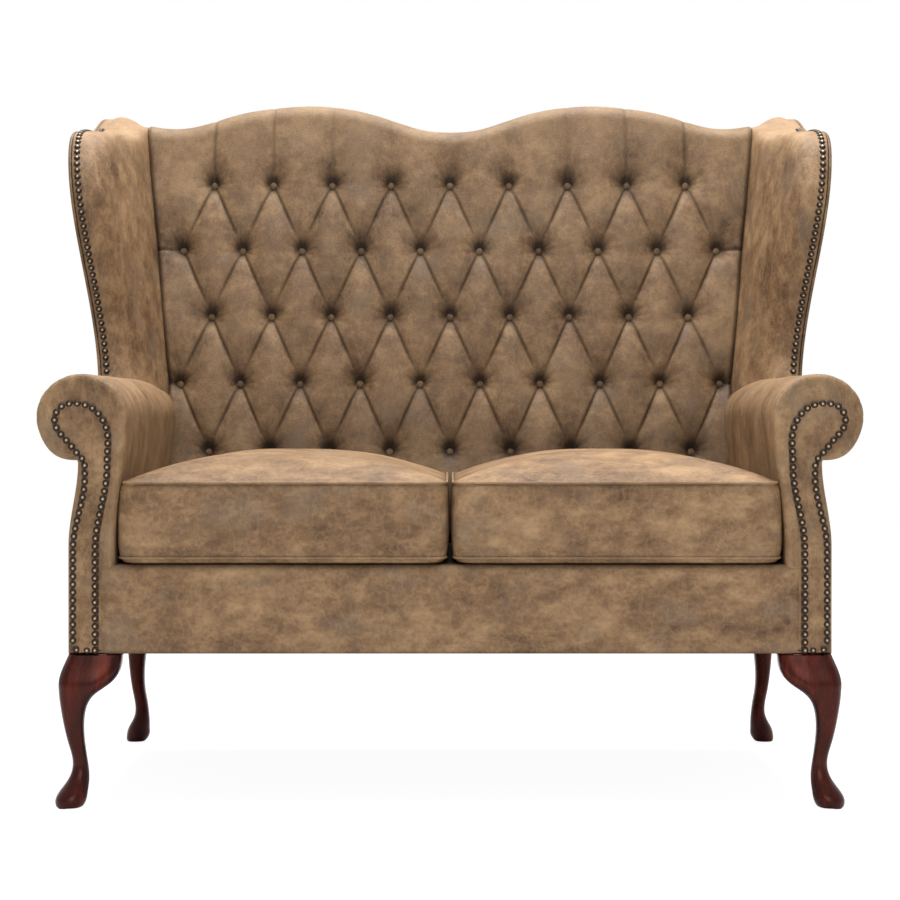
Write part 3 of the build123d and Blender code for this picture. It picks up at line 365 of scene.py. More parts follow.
class ShaderTree:
    """The node tree of a material or a world with one shader, filled by expressions."""

    def __init__(
        self, owner: bpy.types.Material | bpy.types.World, shader: str = "Principled BSDF"
    ) -> None:
        """Open the tree of a new material or world."""
        owner.use_nodes = True
        self.owner = owner
        self.nodes = owner.node_tree.nodes
        self.links = owner.node_tree.links
        self.shader = self.nodes[shader]

    def feed(self, target: bpy.types.NodeSocket, value: Any) -> None:
        """Link a socket to an input, or set a plain value on it."""
        if isinstance(value, Socket):
            self.links.new(value.link, target)
        elif isinstance(value, tuple) and len(value) == 3 and target.type == "RGBA":
            target.default_value = (*value, 1.0)
        else:
            target.default_value = value

    def node(
        self,
        kind: str,
        settings: dict[str, Any] | None = None,
        inputs: dict[Any, Any] | None = None,
        output: int | str = 0,
    ) -> Socket:
        """Add any node.

        Args:
            kind: The node's type.
            settings: Its own settings; stops sets the stops of a colour ramp.
            inputs: Values or links by socket name or number.
            output: The output socket to give.

        Returns:
            The wrapped output socket.
        """
        made = self.nodes.new(kind)
        for key, value in (settings or {}).items():
            if key == "stops":
                self._set_stops(made.color_ramp, value)
            else:
                setattr(made, key, value)
        for key, value in (inputs or {}).items():
            self.feed(made.inputs[key], value)
        return Socket(self, made.outputs[output])

    @staticmethod
    def _set_stops(ramp: bpy.types.ColorRamp, stops: Sequence[tuple[float, Colour]]) -> None:
        """Set the stops of a colour ramp."""
        while len(ramp.elements) < len(stops):
            ramp.elements.new(0.5)
        for element, (place, colour) in zip(ramp.elements, stops):
            element.position = place
            element.color = (*colour, 1.0)

    def coordinates(self) -> Socket:
        """Give the object's own coordinates, in metres."""
        return self.node("ShaderNodeTexCoord", output="Object")

    def stretched(self, place: Socket, scale: Colour) -> Socket:
        """Scale coordinates along each axis."""
        return self.node("ShaderNodeVectorMath", {"operation": "MULTIPLY"}, {0: place, 1: scale})

    def shifted(self, place: Socket, amount: Colour) -> Socket:
        """Shift coordinates."""
        return self.node("ShaderNodeVectorMath", {"operation": "ADD"}, {0: place, 1: amount})

    def clouds(self, place: Socket, noise: Noise) -> Socket:
        """Give cloudy noise between 0 and 1."""
        inputs = {"Vector": place, "Scale": noise.scale, "Detail": noise.detail, "Roughness": noise.rough}
        return self.node("ShaderNodeTexNoise", None, inputs, "Fac")

    def cells(self, place: Socket, scale: float) -> Socket:
        """Give the distance to the middle of small cells."""
        inputs = {"Vector": place, "Scale": scale}
        return self.node("ShaderNodeTexVoronoi", {"feature": "F1"}, inputs, "Distance")

    def blend(self, share: Any, first: Any, second: Any) -> Socket:
        """Mix two colours by a share."""
        settings = {"data_type": "RGBA", "blend_type": "MIX"}
        return self.node("ShaderNodeMix", settings, {0: share, 6: first, 7: second}, 2)

    def ramp(self, value: Socket, stops: Sequence[tuple[float, Colour]]) -> Socket:
        """Turn a value into a colour by stops."""
        return self.node("ShaderNodeValToRGB", {"stops": stops}, {"Fac": value}, "Color")

    def spread(self, value: Socket, low: float, high: float) -> Socket:
        """Stretch a value so that low gives 0 and high gives 1."""
        inputs = {"Value": value, "From Min": low, "From Max": high}
        return self.node("ShaderNodeMapRange", {"interpolation_type": "SMOOTHSTEP"}, inputs)

    def attribute(self, name: str) -> Socket:
        """Read a number kept on the mesh's points."""
        return self.node("ShaderNodeAttribute", {"attribute_name": name}, None, "Fac")

    def ray(self, kind: str) -> Socket:
        """Tell whether a kind of ray is being traced."""
        return self.node("ShaderNodeLightPath", output=f"Is {kind} Ray")

    def relief(self, height: Socket, distance: float, strength: float) -> None:
        """Raise the surface's normals by a height field, in metres."""
        inputs = {"Height": height, "Distance": distance, "Strength": strength}
        self.surface(Normal=self.node("ShaderNodeBump", None, inputs))

    def surface(self, **inputs: Any) -> None:
        """Set the shader's sockets, with underscores for the blanks in their names."""
        for key, value in inputs.items():
            self.feed(self.shader.inputs[key.replace("_", " ")], value)


@dataclass(frozen=True)
class Finish:
    """A named material."""

    name: str

    def material(self) -> bpy.types.Material:
        """Build the finish's material."""
        tree = ShaderTree(bpy.data.materials.new(self.name))
        self.draw(tree, tree.coordinates())
        return tree.owner

    def draw(self, tree: ShaderTree, place: Socket) -> None:
        """Draw the finish over an object's own coordinates."""
        raise NotImplementedError


@dataclass(frozen=True)
class Leather(Finish):
    """Worn tan leather with cloudy patches, painted shade in its creases, painted highlights and wear on
    its lighter places, and fine pebble grain.
    """

    tone: float = 1.0
    streak: Colour = (1.0, 1.0, 1.0)
    shift: Colour = (0.0, 0.0, 0.0)
    dark: Colour = (0.064, 0.032, 0.0135)
    middle: Colour = (0.145, 0.081, 0.0375)
    light: Colour = (0.272, 0.170, 0.086)
    ash: Colour = (0.125, 0.086, 0.056)
    # fold is the colour of the painted shade in creases, seams and folds.
    fold: Colour = (0.016, 0.009, 0.005)
    patch: Noise = Noise(10.0, 8.0, 0.64)
    mottle: Noise = Noise(36.0, 7.0, 0.66)
    speckle: Noise = Noise(170.0, 4.0, 0.65)
    smoke: Noise = Noise(14.0, 5.0)
    smoke_shift: Colour = (3.1, 1.7, 0.4)
    vein: Noise = Noise(52.0, 5.0, 0.55)
    vein_stretch: Colour = (1.0, 1.0, 0.45)
    vein_width: float = 0.05
    pebble: float = 520.0
    grain: Noise = Noise(900.0, 3.0)

    def draw(self, tree: ShaderTree, place: Socket) -> None:
        """Draw the hide, with painted shade in its creases and painted highlights and wear on its lighter
        places.
        """
        hues = (self.dark, self.middle, self.light, self.ash, self.fold)
        dark, middle, light, ash, fold = (tuple(self.tone * part for part in hue) for hue in hues)
        place = tree.shifted(place, self.shift)
        drawn = tree.stretched(place, self.streak)
        mottle = tree.clouds(drawn, self.mottle)
        speckle = tree.clouds(place, self.speckle)
        cloud = tree.clouds(drawn, self.patch) * 0.42 + mottle * 0.42 + speckle * 0.16
        hide = tree.ramp(cloud, [(0.38, dark), (0.49, middle), (0.62, light)])
        smoke = tree.clouds(tree.shifted(drawn, self.smoke_shift), self.smoke)
        hide = tree.blend(tree.spread(smoke, 0.52, 0.70) * 0.6, hide, ash)
        wisp = tree.clouds(tree.stretched(drawn, self.vein_stretch), self.vein) - 0.5
        vein = 1.0 - tree.spread(abs(wisp), 0.0, self.vein_width)
        hide = tree.blend(vein * 0.22, hide, light)
        # Painted shade: darken toward the fold colour by the mark kept on the mesh's points.
        hide = tree.blend(tree.attribute("crease") * 0.9, hide, fold)
        # Painted highlight and wear: lighten toward the light colour by the mark kept on the mesh's
        # points.
        hide = tree.blend(tree.attribute("rub") * 0.45, hide, light)
        pebble = tree.cells(place, self.pebble)
        grain = tree.clouds(place, self.grain)
        matte = 0.50 + mottle * 0.16 + pebble * 0.08
        tree.surface(Base_Color=hide, Roughness=matte, Specular_IOR_Level=0.26)
        tree.relief(pebble * 0.5 + grain * 0.35 + mottle * 0.9, 0.0012, 0.7)


@dataclass(frozen=True)
class Mahogany(Finish):
    """Dark red-brown polished wood with long grain and a reddish gloss."""

    name: str = "mahogany_polish"
    dark: Colour = (0.0035, 0.0007, 0.0004)
    red: Colour = (0.020, 0.0017, 0.0006)
    light: Colour = (0.066, 0.0076, 0.0022)
    sheen: Colour = (1.0, 0.44, 0.38)
    figure: Noise = Noise(46.0, 6.0, 0.62)
    figure_stretch: Colour = (1.0, 1.0, 0.16)
    pore: Noise = Noise(480.0, 2.0, 0.5)
    pore_stretch: Colour = (1.0, 1.0, 0.05)

    def draw(self, tree: ShaderTree, place: Socket) -> None:
        """Draw the wood's figure and pores."""
        figure = tree.clouds(tree.stretched(place, self.figure_stretch), self.figure)
        pores = tree.clouds(tree.stretched(place, self.pore_stretch), self.pore)
        stops = [(0.38, self.dark), (0.52, self.red), (0.66, self.light)]
        tree.surface(
            Base_Color=tree.ramp(figure * 0.8 + pores * 0.2, stops),
            Roughness=0.19 + figure * 0.12,
            Specular_IOR_Level=0.32,
            Specular_Tint=self.sheen,
        )
        tree.relief(pores * 0.5 + figure * 0.4, 0.0003, 0.4)


@dataclass(frozen=True)
class AgedBrass(Finish):
    """Dark antique brass, rubbed bright on the crowns of the nails."""

    name: str = "aged_brass"
    dark: Colour = (0.030, 0.021, 0.014)
    bright: Colour = (0.36, 0.27, 0.19)
    stain: Noise = Noise(160.0)

    def draw(self, tree: ShaderTree, place: Socket) -> None:
        """Draw the stained metal and its worn crowns."""
        stain = tree.clouds(place, self.stain)
        worn_and_lit = tree.spread(tree.attribute("crown") + stain * 0.3 - 0.15, 0.52, 0.92)
        tree.surface(
            Base_Color=tree.blend(worn_and_lit, self.dark, self.bright),
            Metallic=0.85,
            Roughness=0.52 - worn_and_lit * 0.16 + stain * 0.1,
        )
        tree.relief(stain, 0.0003, 0.5)


@dataclass(frozen=True)
class PlainTimber(Finish):
    """Planed pale wood of the hidden frame."""

    name: str = "planed_beech"
    pale: Colour = (0.56, 0.36, 0.19)
    deep: Colour = (0.40, 0.23, 0.11)
    ring: Noise = Noise(60.0, 5.0)
    stretch: Colour = (0.5, 1.0, 1.0)

    def draw(self, tree: ShaderTree, place: Socket) -> None:
        """Draw the wood's rings."""
        rings = tree.clouds(tree.stretched(place, self.stretch), self.ring)
        colour = tree.ramp(rings, [(0.35, self.deep), (0.65, self.pale)])
        tree.surface(Base_Color=colour, Roughness=0.6 + rings * 0.15)
        tree.relief(rings, 0.0004, 0.5)


@dataclass(frozen=True)
class Foam(Finish):
    """Open-cell cushion foam."""

    name: str = "cell_foam"
    pale: Colour = (0.72, 0.66, 0.46)
    deep: Colour = (0.55, 0.47, 0.28)
    cell: float = 420.0

    def draw(self, tree: ShaderTree, place: Socket) -> None:
        """Draw the foam's cells."""
        cells = tree.cells(place, self.cell)
        tree.surface(Base_Color=tree.blend(cells, self.pale, self.deep), Roughness=0.88 + cells * 0.05)
        tree.relief(cells, 0.001, 0.6)


@dataclass(frozen=True)
class FilmedFinish(Finish):
    """A plain finish under a cloudy film, as of oiled steel or scuffed plastic."""

    clear: Colour
    filmed: Colour
    film: Noise
    rough: float
    metallic: float = 0.0

    def draw(self, tree: ShaderTree, place: Socket) -> None:
        """Draw the film."""
        film = tree.clouds(place, self.film)
        tree.surface(
            Base_Color=tree.blend(film, self.clear, self.filmed),
            Metallic=self.metallic,
            Roughness=self.rough + film * 0.2,
        )


@dataclass(frozen=True)
class WovenCloth(Finish):
    """Coarse plain-woven cloth, used dark under the sofa and pale on the deck."""

    thread: Colour
    gap: Colour
    threads: float = 130.0
    wobble: float = 0.6
    slub: Noise = Noise(70.0)

    def _threads(self, tree: ShaderTree, place: Socket, way: str) -> Socket:
        """Draw the threads that run one way."""
        settings = {"wave_type": "BANDS", "bands_direction": way}
        inputs = {"Vector": place, "Scale": self.threads, "Distortion": self.wobble}
        return tree.node("ShaderNodeTexWave", settings, inputs, "Fac")

    def draw(self, tree: ShaderTree, place: Socket) -> None:
        """Draw the weave with its uneven threads."""
        weave = self._threads(tree, place, "X") * self._threads(tree, place, "Y")
        slub = tree.clouds(place, self.slub)
        colour = tree.blend(weave * 0.7 + slub * 0.3, self.gap, self.thread)
        tree.surface(Base_Color=colour, Roughness=0.86 + slub * 0.08)
        tree.relief(weave, 0.0006, 0.7)


OILED_STEEL = FilmedFinish(
    "oiled_steel", (0.34, 0.34, 0.35), (0.16, 0.15, 0.15), Noise(90.0, 5.0), 0.32, 1.0
)
MATTE_NYLON = FilmedFinish("matte_nylon", (0.012, 0.011, 0.010), (0.045, 0.042, 0.038), Noise(120.0), 0.5)
DECK_CLOTH = WovenCloth("deck_cloth", (0.135, 0.105, 0.072), (0.050, 0.036, 0.024))
BASE_CLOTH = WovenCloth("base_cloth", (0.022, 0.020, 0.018), (0.006, 0.006, 0.006))


class Finishes:
    """The materials of the sofa, made once each."""

    def __init__(self) -> None:
        """Build every material."""
        along_seat, along_border = (0.72, 0.9, 1.2), (0.72, 1.0, 1.2)
        along_arm, along_wing = (1.2, 1.3, 0.75), (1.15, 1.1, 0.85)
        # The inside back takes a darker copy of the leather (tone 0.75): painted shade for its recessed
        # place behind the wings and cushions, and a darker hide.
        self.back = Leather("leather_back", tone=0.75).material()
        self.seat = Leather("leather_seat", 1.02, along_seat, (0.7, 0.2, 0.1)).material()
        self.border = Leather("leather_border", 1.0, along_border, (1.9, 0.3, 0.6)).material()
        self.arm = Leather("leather_arm", 1.0, along_arm, (0.2, 2.1, 0.5)).material()
        self.facing = Leather("leather_facing", shift=(2.6, 0.8, 1.3)).material()
        self.wing = Leather("leather_wing", 1.0, along_wing, (0.4, 1.1, 2.2)).material()
        self.outside = Leather("leather_outside", shift=(3.3, 1.4, 0.2)).material()
        self.brass = AgedBrass().material()
        self.deck = DECK_CLOTH.material()
        self.base = BASE_CLOTH.material()
        self.legs = Mahogany().material()
        self.by_slot = {
            Slot.LEATHER.value: self.outside,
            Slot.LEGS.value: self.legs,
            Slot.BRASS.value: self.brass,
            Slot.TIMBER.value: PlainTimber().material(),
            Slot.FOAM.value: Foam().material(),
            Slot.STEEL.value: OILED_STEEL.material(),
            Slot.CLOTH.value: self.deck,
            Slot.GLIDE.value: MATTE_NYLON.material(),
        }

    def dress_nodes(self) -> None:
        """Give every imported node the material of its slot."""
        for row in frame["record"]["subparts"]:
            mesh = frame["nodes"][row["node"]].data
            mesh.materials.clear()
            mesh.materials.append(self.by_slot[row["material_slot"]])


# Upholstery


@dataclass
class Dressed:
    """What every dressed piece shares: its body, its slot and how it is tied to the frame."""

    body: str = "sofa"
    slot: Slot = Slot.LEATHER

    def dress(
        self,
        piece: bpy.types.Object,
        material: bpy.types.Material,
        nodes: Sequence[str],
        fill: float | None = None,
        **marks: Any,
    ) -> None:
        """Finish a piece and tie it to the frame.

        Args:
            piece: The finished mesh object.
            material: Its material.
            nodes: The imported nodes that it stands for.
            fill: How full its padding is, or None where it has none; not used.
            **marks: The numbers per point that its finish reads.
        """
        mark(piece, **marks)
        piece.data.materials.clear()
        piece.data.materials.append(material)
        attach(piece, self.body)
        if nodes:
            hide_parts(*nodes)
        LOG.info("made %s with %d points", piece.name, len(piece.data.vertices))


@dataclass(frozen=True)
class Rake:
    """The leaning plane of the back frame."""

    lean: float = math.radians(11.0)
    seat_line: float = 480.0
    depth: float = 616.0

    def depth_at(self, height: Points, forward: Points) -> Points:
        """Give the depth at a height, a distance forward of the frame."""
        leaned = (height - self.seat_line) * math.tan(self.lean)
        return self.depth + leaned - forward / math.cos(self.lean)

    def points(self, x: Points, along: Points, forward: Points) -> Points:
        """Give the places of points across, up and out from the frame."""
        foot = FRONT_Y + self.depth - self.seat_line * math.tan(self.lean)
        y = foot + along * math.sin(self.lean) - forward * math.cos(self.lean)
        z = along * math.cos(self.lean) + forward * math.sin(self.lean)
        return np.stack(np.broadcast_arrays(x, y, z), -1)


RAKE = Rake()
BACK_MIDDLE = RAKE.points(0.0, 800.0, 0.0)


@dataclass
class TuftedBack(Dressed):
    """The deep-buttoned inside back, drawn in at its buttons and folded between them."""

    columns: int = 501
    step: float = 2.2
    top_rows: int = 44
    low: float = 374.0
    crown: float = 76.0
    pitch: float = 107.0
    row_low: float = 523.0
    row_pitch: float = 122.7
    rows: int = 5
    few: int = 9
    puff: float = 7.0
    puff_power: float = 0.62
    well: float = 20.0
    well_reach: float = 17.0
    ripple: float = 1.5
    ripple_reach: float = 11.0
    fold: float = 3.6
    side_fold: float = 3.0
    fold_width: float = 3.4
    dark_width: float = 2.0
    wander: float = 1.2
    seam_x: float = 500.0
    seam_z: float = 640.0
    seam_slope: float = math.tan(math.radians(6.2))
    seam_top: float = 1140.0
    seam_round: float = 9.0
    seam_drop: float = 5.0
    tuck: float = 1.5
    top_round: float = 30.0
    rear: float = -30.0
    rear_round: float = 6.0
    rear_fall: float = 26.0
    top_stops: tuple[tuple[float, float], ...] = (
        (0.0, 1118.0), (44.0, 1120.5), (103.0, 1139.0), (162.0, 1156.5), (220.0, 1166.0),
        (258.0, 1167.5), (294.0, 1166.0), (353.0, 1158.5), (411.0, 1145.0), (455.0, 1131.5),
        (484.0, 1125.0), (514.0, 1124.0), (543.0, 1127.5), (573.0, 1136.0), (700.0, 1142.0),
    )
    button_radius: float = 9.2
    button_sides: int = 28
    button_profile: tuple[tuple[float, float], ...] = (
        (0.0, 7.6), (0.28, 7.4), (0.55, 6.6), (0.78, 5.0), (0.93, 2.8), (1.0, 0.2), (0.94, -2.6),
    )

    def half_width(self, along: Points) -> Points:
        """Give the half width to the wing seam at a distance up the rake."""
        return self.seam_x + np.maximum(0.0, along * math.cos(RAKE.lean) - self.seam_z) * self.seam_slope

    def top_line(self, x: Points) -> Points:
        """Give how far up the rake the top edge is at each X."""
        left = [(-across, up) for across, up in reversed(self.top_stops[1:])]
        line = curve_through([*left, *self.top_stops], 600)
        return np.interp(x, line[:, 0], line[:, 1])

    def buttons(self) -> Points:
        """Give the buttons' places across and up the rake."""
        spots = []
        for row in range(self.rows):
            count = self.few + row % 2
            up = self.row_low + row * self.row_pitch
            spots += [((column - (count - 1) / 2) * self.pitch, up) for column in range(count)]
        return np.array(spots)

    def _nearest(self, x: Points, along: Points) -> tuple[Points, Points]:
        """Give how far the nearest button is from each place, and the angle from that button."""
        away = np.full(x.shape, 1e9)
        aim = np.zeros(x.shape)
        for button_x, button_up in self.buttons():
            gap = np.hypot(x - button_x, along - button_up)
            nearer = gap < away
            away = np.where(nearer, gap, away)
            aim = np.where(nearer, np.arctan2(along - button_up, x - button_x), aim)
        return away, aim

    def relief(self, x: Points, along: Points) -> tuple[Points, Points, Points]:
        """Work out the buttoned surface.

        Args:
            x: Places across the back.
            along: Places up the rake.

        Returns:
            How far each place is in front of the frame, how much painted shade it takes and how much
            painted highlight it takes.
        """
        across = x / (self.pitch / 2)
        up = (along - self.row_low) / self.row_pitch
        held_x = np.clip(across, -float(self.few), float(self.few))
        held_up = np.clip(up, 0.0, self.rows - 1.0)
        first = (held_x + held_up) / 2
        second = (held_x - held_up) / 2
        pillow = np.abs(np.sin(math.pi * first) * np.sin(math.pi * second))
        above = ease(0.0, 0.9, up - (self.rows - 1))
        sink = self.puff * (1.0 - pillow**self.puff_power) * (1.0 - 0.75 * above)
        away, aim = self._nearest(x, along)
        pull = np.exp(-((away / self.well_reach) ** 1.15))
        near = away / self.ripple_reach
        ripple = np.cos(11.0 * aim + 0.7 * np.sin(3.0 * aim)) * near * np.exp(-near)
        upward = 0.5 + 0.5 * np.sin(aim)
        sink = sink + self.well * pull + self.ripple * ripple * (0.35 + 0.65 * upward)
        fold, dark, lip = self._folds(across, up, first, second)
        sink = sink + fold
        seam = self.half_width(along) - np.abs(x)
        over = np.clip(1.0 - seam / self.seam_round, 0.0, 1.0)
        sink = sink + self.seam_drop * (1.0 - np.sqrt(np.maximum(0.0, 1.0 - over**2)))
        # Painted shade: a dark fan above each button and a dark ring round it, where the pad overhangs
        # the well, the fold lines, the wing seams, and darker toward the bottom behind the cushions.
        fan = np.exp(-(((away - 8.0) / 15.0) ** 2)) * upward**2.2 * (1.0 + 0.45 * ripple)
        shade = np.clip(1.1 * np.exp(-(near**2)) + 0.85 * fan, 0.0, 1.0)
        low = 0.30 * ease(640.0, 500.0, along)
        crease = np.clip(np.maximum(shade, dark) + 0.7 * ease(7.0, 0.0, seam) + low, 0.0, 1.0)
        spread = np.stack([x, along, 0 * x], -1).reshape(-1, 3)
        wander = drift(spread, 0.021, 0.4).reshape(x.shape)
        # Painted highlight: lighter on the crowns of the puffed diamonds, over the top roll and on the
        # lips of the folds.
        worn_and_lit = 0.4 * pillow + 0.75 * ease(1040.0, 1150.0, along) + 0.55 * lip
        return self.crown - sink + self.wander * wander, crease, worn_and_lit

    def _folds(
        self, across: Points, up: Points, first: Points, second: Points
    ) -> tuple[Points, Points, Points]:
        """Work out the folds between the buttons, and from the outer ones to the edges.

        Args:
            across: Places across the back, in half pitches.
            up: Places up the rake, in rows.
            first: Places counted across the folds that run down to the right.
            second: Places counted across the folds that run down to the left.

        Returns:
            How deep the folds are, how much painted shade lies in them, and how much painted highlight
            lies on their upper lips.
        """
        width = 2.0 / math.hypot(2.0 / self.pitch, 1.0 / self.row_pitch)
        fallen = 1.0 - (up - np.floor(up))
        field = (np.abs(across) <= self.few) & (up >= 0.0) & (up <= self.rows - 1.0)
        fade = (1.0 - ease(0.42, 0.95, fallen)) * field
        depth, dark, lip = np.zeros((3, *across.shape))
        for count, sign in ((first, -1.0), (second, 1.0)):
            inner = sign * (count - np.round(count)) * width
            steep = np.exp(-((inner / 2.4) ** 2))
            dip = np.where(inner < 0, steep, np.exp(-np.abs(inner / 5.0) ** 1.3))
            depth = np.maximum(depth, self.fold * fade * dip)
            # Painted shade along each fold line, and painted highlight on the lip beside it.
            dark = np.maximum(dark, fade * np.exp(-(((inner + 0.6) / 1.9) ** 2)))
            lip = np.maximum(lip, fade * np.exp(-(((inner + 4.6) / 2.0) ** 2)))
        column = np.clip(np.round(across / 2.0) * 2.0, 1.0 - self.few, self.few - 1.0)
        strong = np.clip(0.18 + 0.145 * (np.abs(column) - 2.0), 0.18, 1.0)
        over = ease(0.02, 0.12, up - (self.rows - 1)) + ease(0.02, 0.12, -up)
        near = np.abs(across - column) * self.pitch / 2
        depth = np.maximum(depth, self.fold * strong * over * np.exp(-((near / self.fold_width) ** 2)))
        dark = np.maximum(dark, 0.85 * strong * over * np.exp(-((near / self.dark_width) ** 2)))
        row = np.round((up - 1.0) / 2.0) * 2.0 + 1.0
        beyond = ease(0.0, 0.12, np.abs(across) - self.few) * (row > 0) * (row < self.rows)
        near = np.abs(up - row) * self.row_pitch
        depth = np.maximum(depth, self.side_fold * beyond * np.exp(-((near / self.fold_width) ** 2)))
        dark = np.maximum(dark, 0.7 * beyond * np.exp(-((near / self.dark_width) ** 2)))
        return depth, 0.8 * dark, lip

    def build(self, finishes: Finishes) -> None:
        """Make the buttoned cover and its buttons."""
        share = np.linspace(-1.0, 1.0, self.columns)
        straight = self.row_low + (self.rows - 1) * self.row_pitch
        top_x = share * (self.half_width(np.full(self.columns, self.seam_top)) + self.tuck)
        top = self.top_line(top_x)
        rows_up = [np.full(self.columns, up) for up in np.arange(self.low, straight, self.step)]
        for rise in np.linspace(0.0, 1.0, self.top_rows):
            rows_up.append(straight + rise * (top - self.top_round - straight))
        up = np.array(rows_up)
        x = np.array([share * (self.half_width(row) + self.tuck) for row in rows_up])
        forward, crease, rub = self.relief(x, up)
        for along, out in self._top(top, forward[-1]):
            x = np.vstack([x, x[-1]])
            up = np.vstack([up, along])
            forward = np.vstack([forward, out])
            crease = np.vstack([crease, crease[-1] * 0.9])
            rub = np.vstack([rub, rub[-1]])
        points = RAKE.points(x, up, forward).reshape(-1, 3)
        cover = place_mesh("buttoned_back", points, sheet_faces(len(x), self.columns), BACK_MIDDLE)
        self.dress(cover, finishes.back, ["back_cover", "back_foam"], fill=0.7, crease=crease, rub=rub)
        self._make_buttons(finishes)

    def _top(self, top: Points, last: Points) -> list[tuple[Points, Points]]:
        """Roll the cover over the top of the back and down behind it.

        Args:
            top: How far up the rake the top edge is.
            last: How far forward the cover is where the roll begins.

        Returns:
            The rows of the roll, each up the rake and forward of the frame.
        """
        rows = []
        for turn in quarter_turn(13)[1:]:
            along = top - self.top_round + self.top_round * math.sin(turn)
            rows.append((along, last - self.top_round * (1 - math.cos(turn))))
        begin = last - self.top_round
        reach = self.rear + self.rear_round - last + self.top_round
        rows += [(top, begin + reach * part) for part in (0.25, 0.5, 0.75, 1.0)]
        for turn in (0.5, 1.0, math.pi / 2):
            out = self.rear + self.rear_round - self.rear_round * math.sin(turn)
            rows.append((top - self.rear_round * (1 - math.cos(turn)), np.full_like(top, out)))
        rows.append((top - self.rear_fall, np.full_like(top, self.rear)))
        return rows

    def _make_buttons(self, finishes: Finishes) -> None:
        """Make the leather-covered buttons, each a low dome with a pinched rim."""
        turn = full_turn(self.button_sides)
        dome = sheet_faces(len(self.button_profile), self.button_sides, closed=True)
        bottom = self.crown - self.puff - self.well
        points, faces, dark = [], [], []
        for index, (x, up) in enumerate(self.buttons()):
            tilt = 0.5 * math.sin(7.0 * index)
            faces += later_faces(dome, len(points))
            for share, rise in self.button_profile:
                reach = self.button_radius * share * (1.0 + 0.035 * share * np.cos(7 * turn + index))
                out = bottom + rise + tilt * share * np.sin(turn + index)
                points.extend(RAKE.points(x + reach * np.cos(turn), up + reach * np.sin(turn), out))
                # Painted shade: the buttons are darkened all over, most at their rims where they sink
                # into the well.
                dark.extend([0.30 + 0.6 * max(0.0, share - 0.55)] * self.button_sides)
        caps = place_mesh("button_caps", np.array(points), faces, BACK_MIDDLE)
        self.dress(caps, finishes.back, ["back_buttons"], crease=dark)


